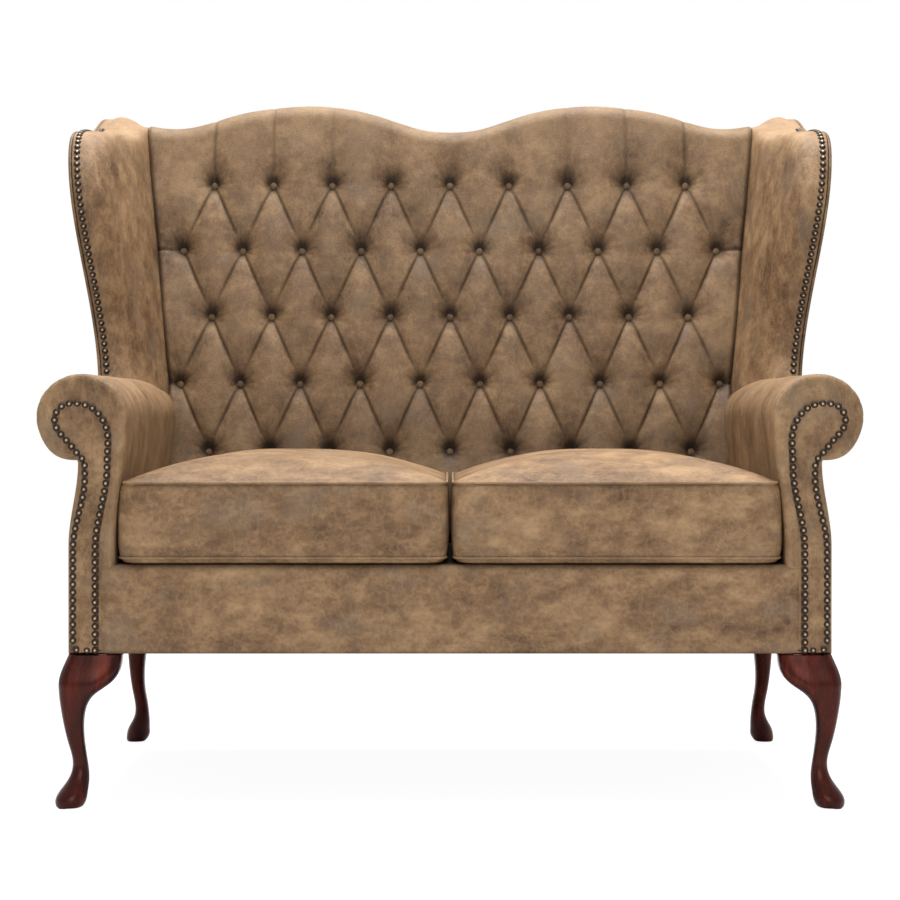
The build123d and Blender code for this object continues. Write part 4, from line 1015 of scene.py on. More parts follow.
@dataclass
class Wing(Dressed):
    """One wing: the padded inside with its rolled edge, and the panel outside it."""

    side: Side = Side.RIGHT
    stations: int = 190
    edge_stops: tuple[tuple[float, float], ...] = (
        (404.0, 602.0), (432.0, 800.0), (400.0, 995.0), (440.0, 1062.0), (590.0, 1092.0), (700.0, 1129.0),
    )
    high: float = 1136.0
    lift: float = 3.0
    lift_from: float = 620.0
    tuck_in: float = 1.5
    low: float = 602.0
    wide: float = 607.0
    wide_depth: float = 400.0
    wide_height: float = 665.0
    flare: float = math.tan(math.radians(6.9))
    outer_toe: float = math.tan(math.radians(4.0))
    seam_wide: float = 500.6
    seam_height: float = 640.0
    seam_slope: float = math.tan(math.radians(6.2))
    seam_top: float = 1112.0
    seam_pace: tuple[tuple[float, float], ...] = (
        (0.0, 0.0), (0.57, 0.775), (0.76, 0.83), (0.905, 0.9), (1.0, 1.0),
    )
    front: float = 72.0
    rear: float = -26.0
    rear_edge: float = -28.0
    rear_spine: float = -32.0
    top_round: float = 30.0
    crest: float = 20.0
    corner: float = 37.0
    corner_less: float = 20.0
    hump: float = 12.0
    hump_span: tuple[float, float] = (0.78, 0.97)
    roll: float = 62.0
    roll_share: float = 0.62
    swell: float = 5.0
    swell_span: tuple[float, float] = (0.6, 0.76)
    highlight_span: tuple[float, float] = (1015.0, 1100.0)
    face_rows: int = 46
    roll_rows: int = 22
    band_rows: int = 7
    tuck_reach: float = 4.0
    pad_return: tuple[Colour, ...] = ((0.0, 6.0, -2.5), (0.0, 8.0, -30.0))
    panel_rows: int = 60
    panel_swell: float = 2.6
    panel_return: tuple[Colour, ...] = ((-3.0, 4.0, 0.0), (-24.0, 5.5, 0.0))
    spine_stops: tuple[tuple[float, float], ...] = ((0.0, 602.0), (0.58, 1000.0), (1.0, 1082.0))
    skin_round: float = 5.0
    skin: float = 7.0
    inside: tuple[float, float, float] = (590.0, 620.0, 850.0)

    def outer_x(self, depth: Points, height: Points) -> Points:
        """Give the X of the wing's outer plane."""
        rise = (height - self.wide_height) * self.flare
        return self.wide + rise - (depth - self.wide_depth) * self.outer_toe

    def seam_x(self, height: Points) -> Points:
        """Give the X of the seam between the wing and the inside back."""
        return self.seam_wide + np.maximum(0.0, height - self.seam_height) * self.seam_slope

    def edge(self) -> Points:
        """Give the depth and height of the wing's edge, from the arm to the back."""
        rear = float(RAKE.depth_at(self.high, self.rear_edge))
        line = evenly(curve_through([*self.edge_stops, (rear, self.high)], 800), self.stations)
        line[:, 1] += self.lift * ease(self.lift_from, rear, line[:, 0])
        return line

    def seam_line(self, top: float) -> Points:
        """Give the seam with the inside back, up its face and over its top.

        Args:
            top: How far up the rake the top of the inside back is at the seam.

        Returns:
            The points of the seam and, one row below them, points sunk into the back.
        """
        begin = (self.low - self.front * math.sin(RAKE.lean)) / math.cos(RAKE.lean)
        face = np.array([(begin, self.front), (top - self.top_round, self.front)])
        turn = quarter_turn(20)
        over_up = top - self.top_round * (1 - np.sin(turn))
        over_out = self.front - self.top_round * (1 - np.cos(turn))
        level = np.array([(top, self.front - self.top_round), (top, self.rear)])
        dense = 900
        line = evenly(joined(face, np.stack([over_up, over_out], 1), level), dense)
        where = np.interp(np.linspace(0.0, 1.0, self.stations), *zip(*self.seam_pace))
        where = np.convolve(np.pad(where, 8, mode="edge"), np.full(17, 1 / 17), mode="valid")
        at = np.interp(where, np.linspace(0.0, 1.0, dense), np.arange(dense)).astype(int)
        sunk = np.minimum(line - np.array([0.0, 16.0]), [top - 12.0, np.inf])
        seam = []
        for path in (line[at], sunk[at]):
            spot = RAKE.points(np.zeros(len(path)), path[:, 0], path[:, 1])
            seam.append(np.stack([self.seam_x(spot[:, 2]), spot[:, 1] - FRONT_Y, spot[:, 2]], 1))
        return np.array(seam)

    def build(self, finishes: Finishes) -> None:
        """Make the wing's pad and its outside panel."""
        edge = self.edge()
        self._make_pad(finishes, edge)
        self._make_panel(finishes, edge)

    def _make_pad(self, finishes: Finishes, edge: Points) -> None:
        """Make the padded inside, rolled over to the edge band that carries the nails.

        Args:
            finishes: The sofa's materials.
            edge: The wing's edge line.
        """
        top = float(TuftedBack().top_line(np.array(self.seam_x(np.array(self.seam_top)))))
        seam, sunk = self.seam_line(top - self.tuck_in)
        outer = self.outer_x(edge[:, 0], edge[:, 1])
        crest = np.stack([outer - self.crest, edge[:, 0], edge[:, 1]], 1)
        share = np.linspace(0.0, 1.0, self.stations)
        behind = ease(*self.hump_span, share)
        inward = self.corner - self.corner_less * behind
        corner = crest - np.stack([inward, 0.0 * share, -self.hump * behind], 1)
        reach = seam - corner
        length = np.linalg.norm(reach, axis=1)
        start = corner + reach * np.minimum(self.roll_share, self.roll / length)[:, None]
        facing = np.cross(reach, np.gradient(crest, axis=0))
        facing /= np.linalg.norm(facing, axis=1)[:, None]
        facing *= np.sign(facing @ np.array([-1.0, -1.0, 1.0]))[:, None]
        full = facing * (self.swell * (1.0 - ease(*self.swell_span, share)))[:, None]
        # Painted shade runs dark at the sunk seam and the tuck, and fades in from the seam and toward the
        # tuck.
        rows, painted_shades = [sunk], [0.9]
        for part in np.linspace(0.0, 1.0, self.face_rows):
            rows.append(seam + (start - seam) * part + full * math.sin(math.pi * part) ** 2)
            painted_shades.append(0.55 * max(0.0, 1.0 - part * 22.0))
        for part in np.linspace(0.0, 1.0, self.roll_rows)[1:]:
            rows.append((1 - part) ** 2 * start + 2 * part * (1 - part) * corner + part**2 * crest)
            painted_shades.append(0.0)
        for part in np.linspace(0.0, 1.0, self.band_rows)[1:]:
            rows.append(crest + np.array([(self.crest - self.skin) * part, 0.0, 0.0]))
            painted_shades.append(0.25 * part)
        tuck = np.stack([outer - self.skin + 1.2, edge[:, 0], edge[:, 1]], 1)
        rows.append(tuck + reach * (self.tuck_reach / length)[:, None])
        painted_shades.append(0.9)
        rows = self._returned(rows, self.pad_return)
        painted_shades = [np.full(len(row), crease) for row, crease in zip(rows, painted_shades)]
        # Painted highlight: the top of the wing is painted lighter.
        wear_and_highlights = [0.95 * ease(*self.highlight_span, row[:, 2]) for row in rows]
        pad = self._place("wing_leather", rows)
        self.dress(pad, finishes.wing, [self.side.name_of("wing_pad")], 0.8, crease=painted_shades, rub=wear_and_highlights)

    def _make_panel(self, finishes: Finishes, edge: Points) -> None:
        """Make the outside panel with its turned edge.

        Args:
            finishes: The sofa's materials.
            edge: The wing's edge line.
        """
        share = np.linspace(0.0, 1.0, self.stations)
        spine_z = np.interp(share, *zip(*self.spine_stops))
        reach = np.stack([RAKE.depth_at(spine_z, self.rear_spine), spine_z], 1) - edge
        length = np.linalg.norm(reach, axis=1)
        unit = reach / length[:, None]
        inward = edge + unit * self.tuck_reach
        rows = [np.column_stack([self.outer_x(*inward.T) - self.skin + 1.4, inward])]
        # Painted shade at the tucked edge, lightly over the turned edge, and at the far end.
        painted_shades = [0.9]
        for turn in quarter_turn(7):
            spot = edge + unit * (self.skin_round * (1 - math.cos(turn)))
            x = self.outer_x(*spot.T) - self.skin_round * (1 - math.sin(turn))
            rows.append(np.column_stack([x, spot]))
            painted_shades.append(0.15)
        for part in np.linspace(0.0, 1.0, self.panel_rows)[1:]:
            spot = edge + unit * (self.skin_round + (length - self.skin_round) * part)[:, None]
            crown = self.panel_swell * np.sin(math.pi * min(1.0, part * 1.02)) ** 0.7
            rows.append(np.column_stack([self.outer_x(*spot.T) + crown, spot]))
            painted_shades.append(0.6 * max(0.0, (part - 0.97) / 0.03))
        rows = self._returned(rows, self.panel_return)
        painted_shades = [np.append(np.full(self.stations, crease), [0.5, 0.9]) for crease in painted_shades]
        panel = self._place("wing_panel", rows)
        self.dress(panel, finishes.outside, [self.side.name_of("wing_outside")], crease=painted_shades)

    @staticmethod
    def _returned(rows: list[Points], steps: Sequence[Colour]) -> list[Points]:
        """Carry each row on past its end by steps, where the wing turns in at the back."""
        return [np.vstack([row, *(row[-1] + step for step in np.array(steps))]) for row in rows]

    def _place(self, name: str, rows: list[Points]) -> bpy.types.Object:
        """Make a piece on this side from rows of X, depth and height."""
        faces = sheet_faces(len(rows), len(rows[0]))
        return place_rows(self.side.name_of(name), rows, faces, self.inside, self.side)


@dataclass
class Arm(Dressed):
    """One rolled arm, with the flat facing on its front."""

    side: Side = Side.RIGHT
    foot: float = 230.0
    outer: float = 574.5
    inner: float = 504.0
    neck: float = 559.0
    swell: float = 392.0
    roll: tuple[float, float] = (554.5, 586.5)
    radii: tuple[float, float] = (68.0, 64.5)
    face: float = 3.0
    rear: float = -28.0
    edge_round: float = 9.0
    spacing: float = 4.0
    droop: float = 0.075
    pleat: float = 0.55
    pleat_depth: float = 8.0
    pleat_reach: float = 22.0
    wander: float = 0.9
    inside: tuple[float, float, float] = (545.0, 300.0, 480.0)
    facing_foot: float = 233.0
    facing_straight: float = 385.0
    facing_x: tuple[float, float] = (532.5, 565.5)
    facing_puff: float = 2.4
    facing_margin: float = 5.0
    facing_inside: tuple[float, float, float] = (549.0, 200.0, 420.0)

    def outline(self) -> Points:
        """Give the scroll outline of the arm, once round from the inner foot."""
        turn = math.acos((self.neck - self.roll[0]) / self.radii[0])
        neck_z = self.roll[1] - self.radii[1] * math.sin(turn)
        inner_side = np.array([(self.inner, self.foot), (self.inner, self.swell)])
        roll_side = (self.roll[0] - self.radii[0], self.roll[1])
        rise = curve_through([(self.inner, self.swell), roll_side], 60, (0, 1), (0, 1))
        sweep = np.linspace(math.pi, -turn, 160)
        full = 1.0 + self.droop * np.exp(-(((sweep + 1.02) / 0.42) ** 2))
        scroll_x = self.roll[0] + self.radii[0] * full * np.cos(sweep)
        scroll_z = self.roll[1] + self.radii[1] * full * np.sin(sweep)
        scroll = np.stack([scroll_x, scroll_z], 1)
        scroll[-1] = self.neck + 1.0, neck_z - 5.0
        fall = curve_through([scroll[-1], (self.outer, self.swell)], 60, (0, -1), (0, -1))
        outer_side = np.array([(self.outer, self.swell), (self.outer, self.foot)])
        base = np.array([(self.outer, self.foot), (self.inner, self.foot)])
        parts = []
        for line in (inner_side, rise, scroll, fall, outer_side, base):
            run = np.linalg.norm(np.diff(line, axis=0), axis=1).sum()
            parts.append(evenly(line, max(3, round(run / self.spacing) + 1)))
        return joined(*parts)[:-1]

    def build(self, finishes: Finishes) -> None:
        """Make the arm's wrapped leather and its facing."""
        loop = self.outline()
        normal = loop_normals(loop)
        pleat = self._pleats(loop)
        rear = RAKE.depth_at(loop[:, 1], self.rear)
        begin = self.face + self.edge_round
        rings = [(self.edge_round + 3.0, self.face), (self.edge_round + 1.5, self.face)]
        for turn in quarter_turn(9):
            inset = self.edge_round * (1 - math.sin(turn))
            rings.append((inset, self.face + self.edge_round * (1 - math.cos(turn))))
        # Painted shade lies in the pleat valleys and at the rear end; the rounded front edge is painted
        # lighter (0.35) than the wrap (0.25) and the flat front (0.1).
        rows, painted_shades, wear_and_highlights = [], [], []
        for inset, depth in rings:
            ripple = pleat * self._pleat_share(depth)
            ring = loop - normal * inset - normal * ripple[:, None]
            rows.append(np.stack([ring[:, 0], np.full(len(loop), depth), ring[:, 1]], 1))
            painted_shades.append(0.5 * ripple)
            wear_and_highlights.append(np.full(len(loop), 0.35))
        for part in np.linspace(0.0, 1.0, 84)[1:]:
            depth = begin + (rear - begin) * part
            ripple = pleat * self._pleat_share(depth)
            spread = np.stack([loop[:, 0], depth, loop[:, 1]], 1)
            wander = self.wander * drift(spread, 0.019, 1.3) * math.sin(math.pi * part)
            ring = loop + normal * (wander - ripple)[:, None]
            rows.append(np.stack([ring[:, 0], depth, ring[:, 1]], 1))
            painted_shades.append(0.5 * ripple + 0.5 * max(0.0, (part - 0.985) / 0.015))
            wear_and_highlights.append(np.full(len(loop), 0.25))
        faces = sheet_faces(len(rows), len(loop), closed=True)
        front, front_faces = self._front(loop - normal * (self.edge_round + 1.0))
        faces += later_faces(front_faces, len(rows) * len(loop))
        name = self.side.name_of("arm_leather")
        piece = place_rows(name, [*rows, front], faces, self.inside, self.side)
        crease = np.concatenate([*painted_shades, np.zeros(len(front))])
        rub = np.concatenate([*wear_and_highlights, np.full(len(front), 0.1)])
        nodes = [self.side.name_of(node) for node in ("arm_pad", "arm_outside")]
        self.dress(piece, finishes.arm, nodes, fill=0.8, crease=crease, rub=rub)
        self._make_facing(finishes)

    def _front(self, ring: Points) -> tuple[Points, list[tuple[int, ...]]]:
        """Fill the arm's front between its two sides.

        Args:
            ring: The outline of the front, once round from the inner foot.

        Returns:
            The points of the front and the quads between them.
        """
        rows, columns = 17, 110
        angle = np.arctan2(ring[:, 1] - self.roll[1], ring[:, 0] - self.roll[0])
        tip = int(np.argmin(np.abs(angle - math.radians(55.0)) + 9.0 * (ring[:, 1] < self.roll[1])))
        foot = int(np.argmax(ring[:, 0] - 4.0 * (ring[:, 1] - self.foot)))
        inner = evenly(ring[: tip + 1], columns)
        outer = evenly(ring[tip : foot + 1][::-1], columns)
        share = np.linspace(0.0, 1.0, rows)[:, None, None]
        flat = inner[None] * (1 - share) + outer[None] * share
        depth = np.full(flat.shape[:2], self.face - 0.05)
        points = np.stack([flat[..., 0], depth, flat[..., 1]], -1).reshape(-1, 3)
        return points, sheet_faces(rows, columns)

    def _pleats(self, loop: Points) -> Points:
        """Give the depth of the small pleats where the leather wraps round the scroll."""
        angle = np.arctan2(loop[:, 1] - self.roll[1], loop[:, 0] - self.roll[0])
        on_roll = ease(self.roll[1] - 40.0, self.roll[1] + 10.0, loop[:, 1])
        wave = np.maximum(0.0, np.cos(17.0 * angle + 0.8 * np.sin(3 * angle))) ** 3
        return self.pleat * on_roll * wave

    def _pleat_share(self, depth: Points) -> Points:
        """Give how much of the pleats is left at a depth."""
        return np.exp(-(((depth - self.pleat_depth) / self.pleat_reach) ** 2))

    def facing_sides(self) -> tuple[Points, Points]:
        """Give the inner and outer edges of the facing, each from the foot to the top."""
        inner_head = [(514.5, 515), (516.5, 572), (536, 599), (562, 606)]
        outer_head = [(547.5, 498), (552, 524), (575, 551), (593, 579), (586, 599), (562, 606)]
        sides = []
        for x, stops, count, end in zip(self.facing_x, (inner_head, outer_head), (60, 80), (1, -1)):
            stem = np.array([(x, self.facing_foot), (x, self.facing_straight)])
            rise = curve_through([(x, self.facing_straight), stops[0]], 40, (0, 1), (0, 1))
            sides.append(joined(stem, rise, curve_through(stops, count, (0, 1), (end, 0))))
        return sides[0], sides[1]

    def _make_facing(self, finishes: Finishes) -> None:
        """Make the facing, a thin padded panel that the nails hold."""
        inner, outer = (evenly(line, 120) for line in self.facing_sides())
        rim = self.facing_margin * np.array([1.0, 1.0, 0.7])
        sink = np.array([4.0, 2.0, 0.4])
        flat = np.zeros(13)
        columns = np.concatenate([np.zeros(3), np.linspace(0.0, 1.0, len(flat)), np.ones(3)])
        spill = np.concatenate([rim, flat, rim[::-1]])
        sunk = np.concatenate([sink, flat, sink[::-1]])
        cross = outer - inner
        span = np.linalg.norm(cross, axis=1)
        unit = cross / np.maximum(span, 1e-6)[:, None]
        unit[-6:] = unit[-7]
        rows, painted_shades = [], []
        for share, extra, back in zip(columns, spill, sunk):
            sign = 1.0 if share > 0.5 else -1.0
            spot = inner + cross * share + unit * (sign * extra)
            puffed = self.facing_puff * np.minimum(1.0, span / 40.0) * (1.0 - (2.0 * share - 1.0) ** 4)
            rows.append(np.stack([spot[:, 0], back - puffed + 0.6, spot[:, 1]], 1))
            # Painted shadow along the sunk rims under the nails, and painted shade toward the edges.
            painted_shades.append(np.full(len(inner), 0.7 if extra > 0 else 0.35 * abs(2 * share - 1) ** 6))
        faces = sheet_faces(len(rows), len(inner))
        piece = place_rows(self.side.name_of("arm_face"), rows, faces, self.facing_inside, self.side)
        self.dress(piece, finishes.facing, [self.side.name_of("arm_facing")], crease=painted_shades)


@dataclass
class NailTrim(Dressed):
    """Upholstery nails, one small domed head on each packed nail."""

    slot: Slot = Slot.BRASS
    node: str = ""
    radius: float = 5.6
    sides: int = 20
    sink: float = 3.2
    tip: float = 2.0
    shank: float = 11.0
    profile: tuple[tuple[float, float], ...] = (
        (0.0, 3.5), (0.25, 3.38), (0.5, 2.95), (0.72, 2.2), (0.88, 1.3), (0.97, 0.45), (1.0, -0.1),
        (0.95, -0.6),
    )

    def _places(self) -> list[tuple[Points, Points]]:
        """Find the base and heading of each packed nail."""
        shape = bmesh.new()
        shape.from_mesh(frame["nodes"][self.node].data)
        bmesh.ops.remove_doubles(shape, verts=shape.verts, dist=1e-6)
        shape.verts.ensure_lookup_table()
        seen: set[int] = set()
        places = []
        for vert in shape.verts:
            if vert.index in seen:
                continue
            island, front = [], [vert]
            seen.add(vert.index)
            while front:
                at = front.pop()
                island.append(at.co[:])
                for edge in at.link_edges:
                    other = edge.other_vert(at)
                    if other.index not in seen:
                        seen.add(other.index)
                        front.append(other)
            places.append(self._pose(np.array(island) / MM))
        shape.free()
        return places

    def _pose(self, cloud: Points) -> tuple[Points, Points]:
        """Give a nail's base point and heading from its points."""
        middle = (cloud.max(0) + cloud.min(0)) / 2
        far = cloud[np.argmax(np.linalg.norm(cloud - cloud.mean(0), axis=1))]
        away = np.linalg.norm(cloud - far, axis=1)
        tip = cloud[away < self.tip].mean(0)
        head = cloud[away > self.shank].mean(0)
        heading = (head - tip) / np.linalg.norm(head - tip)
        rise = (cloud - middle) @ heading
        axis_point = tip + heading * ((middle - tip) @ heading)
        return axis_point + heading * (rise.max() - self.sink), heading

    def build(self, finishes: Finishes) -> None:
        """Make the nail heads."""
        turn = full_turn(self.sides)[:, None]
        dome = sheet_faces(len(self.profile), self.sides, closed=True)
        points, faces, crown = [], [], []
        for index, (base, heading) in enumerate(self._places()):
            other = UP if abs(heading[2]) < 0.9 else np.array([1.0, 0.0, 0.0])
            first = np.cross(heading, other)
            first /= np.linalg.norm(first)
            second = np.cross(heading, first)
            size = self.radius * (1.0 + 0.02 * math.sin(3.7 * index))
            faces += later_faces(dome, len(points))
            for share, rise in self.profile:
                ring = np.cos(turn) * first + np.sin(turn) * second
                points.extend(base + heading * rise + size * share * ring)
                crown.extend([1.0 - share] * self.sides)
        heads = np.array(points)
        inside = (heads[:, 0].mean(), 100.0, heads[:, 2].mean())
        piece = place_mesh(f"{self.node}_heads", heads, faces, inside)
        self.dress(piece, finishes.brass, [self.node], crown=crown)


@dataclass
class SeatCushion(Dressed):
    """One loose seat cushion: boxed sides, a crowned top and a sewn welt round each seam."""

    side: Side = Side.RIGHT
    low: float = 364.6
    seam: float = 486.0
    base_seam: float = 374.0
    crown: float = 47.0
    middle: float = 2.0
    outer: float = 503.0
    front: float = -2.0
    rear: float = 512.0
    corner: float = 26.0
    around: int = 240
    arm_stops: tuple[tuple[float, float], ...] = ((504.0, 392.0), (486.5, 586.5))
    top_wave: float = 1.3
    front_wave: float = 0.9
    clear: float = 0.9
    back_clear: float = 77.5
    welt: float = 2.1
    welt_sides: int = 8
    inside: tuple[float, float, float] = (250.0, 250.0, 430.0)
    voxel: float = 0.006
    pressure: float = 4.0
    stiffness: float = 25.0
    bending: float = 2.0
    cap: float = 9.0
    frames: int = 20

    def plan(self, height: float, inset: float) -> Points:
        """Give the level outline of the cushion at a height, set in by an amount."""
        radius = max(6.0, self.corner - 0.3 * inset)
        x0, x1 = self.middle + inset + radius, self.outer - inset - radius
        y0 = self.front + inset + radius
        y1 = self.rear + (height - self.low) * math.tan(RAKE.lean) - inset - radius
        line = []
        for x, y, begin in ((x1, y0, -90), (x1, y1, 0), (x0, y1, 90), (x0, y0, 180)):
            turn = np.radians(np.linspace(begin, begin + 90, 12))
            line.append(np.stack([x + radius * np.cos(turn), y + radius * np.sin(turn)], 1))
        closed = np.concatenate([*line, line[0][:1]])
        return evenly(closed, self.around + 1)[:-1]

    def profile(self) -> list[tuple[float, float]]:
        """Give the heights and insets of the cushion's level outlines, from the base up."""
        steps = [(self.low, 150.0), (self.low, 60.0), (self.low, 18.0), (self.low + 0.7, 9.5)]
        steps += [(self.low + 3.6, 5.0), (self.base_seam, 3.6), (self.base_seam + 10, 1.4)]
        tall = self.seam - self.base_seam
        for part in (0.2, 0.35, 0.5, 0.65, 0.8, 0.92):
            steps.append((self.base_seam + tall * part, 0.4 + 2.0 * abs(part - 0.5) ** 2))
        steps.append((self.seam, 3.0))
        for part in np.linspace(0.0, 1.0, 15)[1:]:
            steps.append((self.seam + self.crown * (1 - (1 - part) ** 2.1), 3.0 + 232.0 * part))
        return steps

    def arm_inner(self, height: Points) -> Points:
        """Give the X of the arm's inner side at a height."""
        line = curve_through(self.arm_stops, 80, (0, 1), (0, 1))
        return np.interp(height, line[:, 1], line[:, 0])

    def build(self, finishes: Finishes) -> None:
        """Make the cushion and its welts."""
        rows = []
        for height, inset in self.profile():
            plan = self.plan(height, inset)
            rows.append(np.column_stack([plan, np.full(len(plan), height)]))
        faces = sheet_faces(len(rows), self.around, closed=True)
        faces.append(tuple(range(self.around)))
        faces.append(tuple(range((len(rows) - 1) * self.around, len(rows) * self.around)))
        piece = place_rows(self.side.name_of("seat_cushion"), rows, faces, self.inside)
        self._inflate(piece)
        crease, rub = self._settle(piece)
        nodes = [self.side.name_of(node) for node in ("cushion_cover", "cushion_core")]
        self.dress(piece, finishes.seat, nodes, fill=0.75, crease=crease, rub=rub)
        self._make_welts(finishes)

    def _inflate(self, piece: bpy.types.Object) -> None:
        """Remesh the cushion evenly and puff its panels out between the pinned seams."""
        remesh = piece.modifiers.new("even", "REMESH")
        remesh.mode = "VOXEL"
        remesh.voxel_size = self.voxel
        self._apply(piece)
        start = self._coords(piece)
        x, y, z = start.T
        edge = np.minimum.reduce([x - self.middle, self.outer - x, y - FRONT_Y - self.front])
        held = (z < self.base_seam + 1.5) | ((np.abs(z - self.seam) < 5.0) & (edge < 9.0))
        group = piece.vertex_groups.new(name="sewn")
        group.add(np.flatnonzero(held).tolist(), 1.0, "REPLACE")
        cloth = piece.modifiers.new("puff", "CLOTH")
        cloth.settings.vertex_group_mass = group.name
        cloth.settings.use_pressure = True
        cloth.settings.uniform_pressure_force = self.pressure
        cloth.settings.effector_weights.gravity = 0.0
        cloth.settings.quality = 5
        cloth.settings.tension_stiffness = self.stiffness
        cloth.settings.compression_stiffness = self.stiffness
        cloth.settings.bending_stiffness = self.bending
        cloth.collision_settings.use_collision = False
        cloth.point_cache.frame_start = 1
        cloth.point_cache.frame_end = self.frames
        for at in range(1, self.frames + 1):
            bpy.context.scene.frame_set(at)
        self._apply(piece)
        bpy.context.scene.frame_set(1)
        moved = self._coords(piece) - start
        size = np.linalg.norm(moved, axis=1)
        limit = self.cap * np.tanh(size / self.cap)
        self._set_coords(piece, start + moved * (limit / np.maximum(size, TINY))[:, None])

    def _settle(self, piece: bpy.types.Object) -> tuple[Points, Points]:
        """Smooth the cushion, keep it clear of its neighbours and put it on its side.

        Args:
            piece: The cushion, as on the right.

        Returns:
            How much painted shade and how much painted highlight each point takes.
        """
        smooth = piece.modifiers.new("ease", "SMOOTH")
        smooth.factor = 0.5
        smooth.iterations = 4
        divide = piece.modifiers.new("fine", "SUBSURF")
        divide.levels = 1
        divide.render_levels = 1
        self._apply(piece)
        place = self._coords(piece)
        seed = 0.3 if self.side is Side.RIGHT else 2.2
        top = ease(self.seam + 4.0, self.seam + 26.0, place[:, 2])
        place[:, 2] += self.top_wave * top * drift(place, 0.016, seed)
        front = ease(18.0, 2.0, place[:, 1] - FRONT_Y) * ease(self.low + 4, self.low + 30, place[:, 2])
        place[:, 1] -= self.front_wave * front * drift(place, 0.024, seed + 1.0)
        place[:, 0] = np.clip(place[:, 0], 1.2, self.arm_inner(place[:, 2]) - self.clear)
        place[:, 2] = np.maximum(place[:, 2], self.low)
        place[:, 1] = np.minimum(place[:, 1], FRONT_Y + RAKE.depth_at(place[:, 2], self.back_clear))
        # Painted shade along the seams of the boxing and along the base; painted highlight on the top.
        seam_gap = np.minimum(np.abs(place[:, 2] - self.seam), np.abs(place[:, 2] - self.base_seam))
        crease = 0.35 * np.exp(-((seam_gap / 3.0) ** 2)) * (top < 0.01)
        crease = np.maximum(crease, 0.7 * ease(self.low + 4.0, self.low, place[:, 2]))
        place[:, 0] *= self.side.value
        self._set_coords(piece, place)
        if self.side is Side.LEFT:
            piece.data.flip_normals()
        piece.data.polygons.foreach_set("use_smooth", np.ones(len(piece.data.polygons), bool))
        return crease, 0.25 * top

    def _make_welts(self, finishes: Finishes) -> None:
        """Make the thin sewn welts round the top and the base of the boxing."""
        points, faces = np.zeros((0, 3)), []
        for height, inset, lift in ((self.seam, 2.6, 1.0), (self.base_seam, 3.4, 0.0)):
            plan = self.plan(height, inset)
            line = np.column_stack([plan, np.full(len(plan), height + lift)])
            line[:, 1] += FRONT_Y
            line[:, 0] = np.minimum(line[:, 0], self.arm_inner(line[:, 2]) - 3.2)
            line[:, 1] = np.minimum(line[:, 1], FRONT_Y + RAKE.depth_at(line[:, 2], 80.0))
            line[:, 0] *= self.side.value
            ring, quads = closed_tube(line, self.welt, self.welt_sides)
            faces += later_faces(quads, len(points))
            points = np.concatenate([points, ring])
        inside = on_side([[self.inside]], self.side)[0]
        piece = place_mesh(self.side.name_of("cushion_welt"), points, faces, inside)
        # An even painted shade (0.12) and an even lighter paint (0.5) over the whole welt.
        worn_and_lit = np.full(len(points), 0.5)
        self.dress(piece, finishes.seat, [], crease=np.full(len(points), 0.12), rub=worn_and_lit)

    @staticmethod
    def _coords(piece: bpy.types.Object) -> Points:
        """Read a mesh's points in millimetres."""
        flat = np.zeros(len(piece.data.vertices) * 3)
        piece.data.vertices.foreach_get("co", flat)
        return flat.reshape(-1, 3) / MM

    @staticmethod
    def _set_coords(piece: bpy.types.Object, points: Points) -> None:
        """Write a mesh's points in millimetres."""
        piece.data.vertices.foreach_set("co", (points * MM).ravel())
        piece.data.update()

    @staticmethod
    def _apply(piece: bpy.types.Object) -> None:
        """Apply every modifier of a piece."""
        evaluated = piece.evaluated_get(bpy.context.evaluated_depsgraph_get())
        mesh = bpy.data.meshes.new_from_object(evaluated)
        piece.modifiers.clear()
        old = piece.data
        piece.data = mesh
        bpy.data.meshes.remove(old)


@dataclass
class FrontBorder(Dressed):
    """The padded border under the cushions, turned back over the front rail."""

    columns: int = 260
    half: float = 530.0
    lip_half: float = 503.0
    low: float = 230.2
    high: float = 363.8
    front: float = 2.0
    lip: float = 60.0
    swell: float = 2.2
    wave: float = 0.8
    inside: tuple[float, float, float] = (0.0, 60.0, 300.0)

    def build(self, finishes: Finishes) -> None:
        """Make the border."""
        share = np.linspace(-1.0, 1.0, self.columns)
        ends = ease(1.0, 0.965, np.abs(share))
        steps = [(8.0, self.low), (3.0, self.low + 0.4), (0.8, self.low + 2.4)]
        steps += [(0.0, height) for height in np.linspace(self.low + 7.0, self.high - 9.0, 30)]
        steps += [(0.6, self.high - 5.0), (2.4, self.high - 2.0), (6.0, self.high)]
        steps += [(depth, self.high) for depth in np.linspace(14.0, self.lip - self.front, 8)]
        rows, painted_shades = [], []
        for back, height in steps:
            upright = back < 0.5
            x = share * (self.half if back < 5.0 and height < self.high - 1.0 else self.lip_half)
            level = np.full(self.columns, height)
            rise = math.sin(math.pi * min(1.0, max(0.0, (height - self.low) / (self.high - self.low))))
            swell = self.swell * rise**0.6 if upright else 0.0
            spread = np.stack([x, np.zeros(self.columns), level], 1)
            wave = self.wave * drift(spread, 0.022, 4.0) * upright
            depth = self.front + back - (swell + wave) * ends + 2.0 * (1.0 - ends) * upright
            rows.append(np.stack([x, depth, level], 1))
            # Painted shade along the foot of the border and toward its top edge under the cushions.
            fringe = 0.6 * (1.0 - ease(0.0, 5.0, level - self.low))
            painted_shades.append(np.maximum(fringe, 0.5 * ease(self.high - 14.0, self.high, level)))
        faces = sheet_faces(len(rows), self.columns)
        piece = place_rows("seat_border", rows, faces, self.inside)
        self.dress(piece, finishes.border, ["front_border"], fill=0.6, crease=painted_shades)


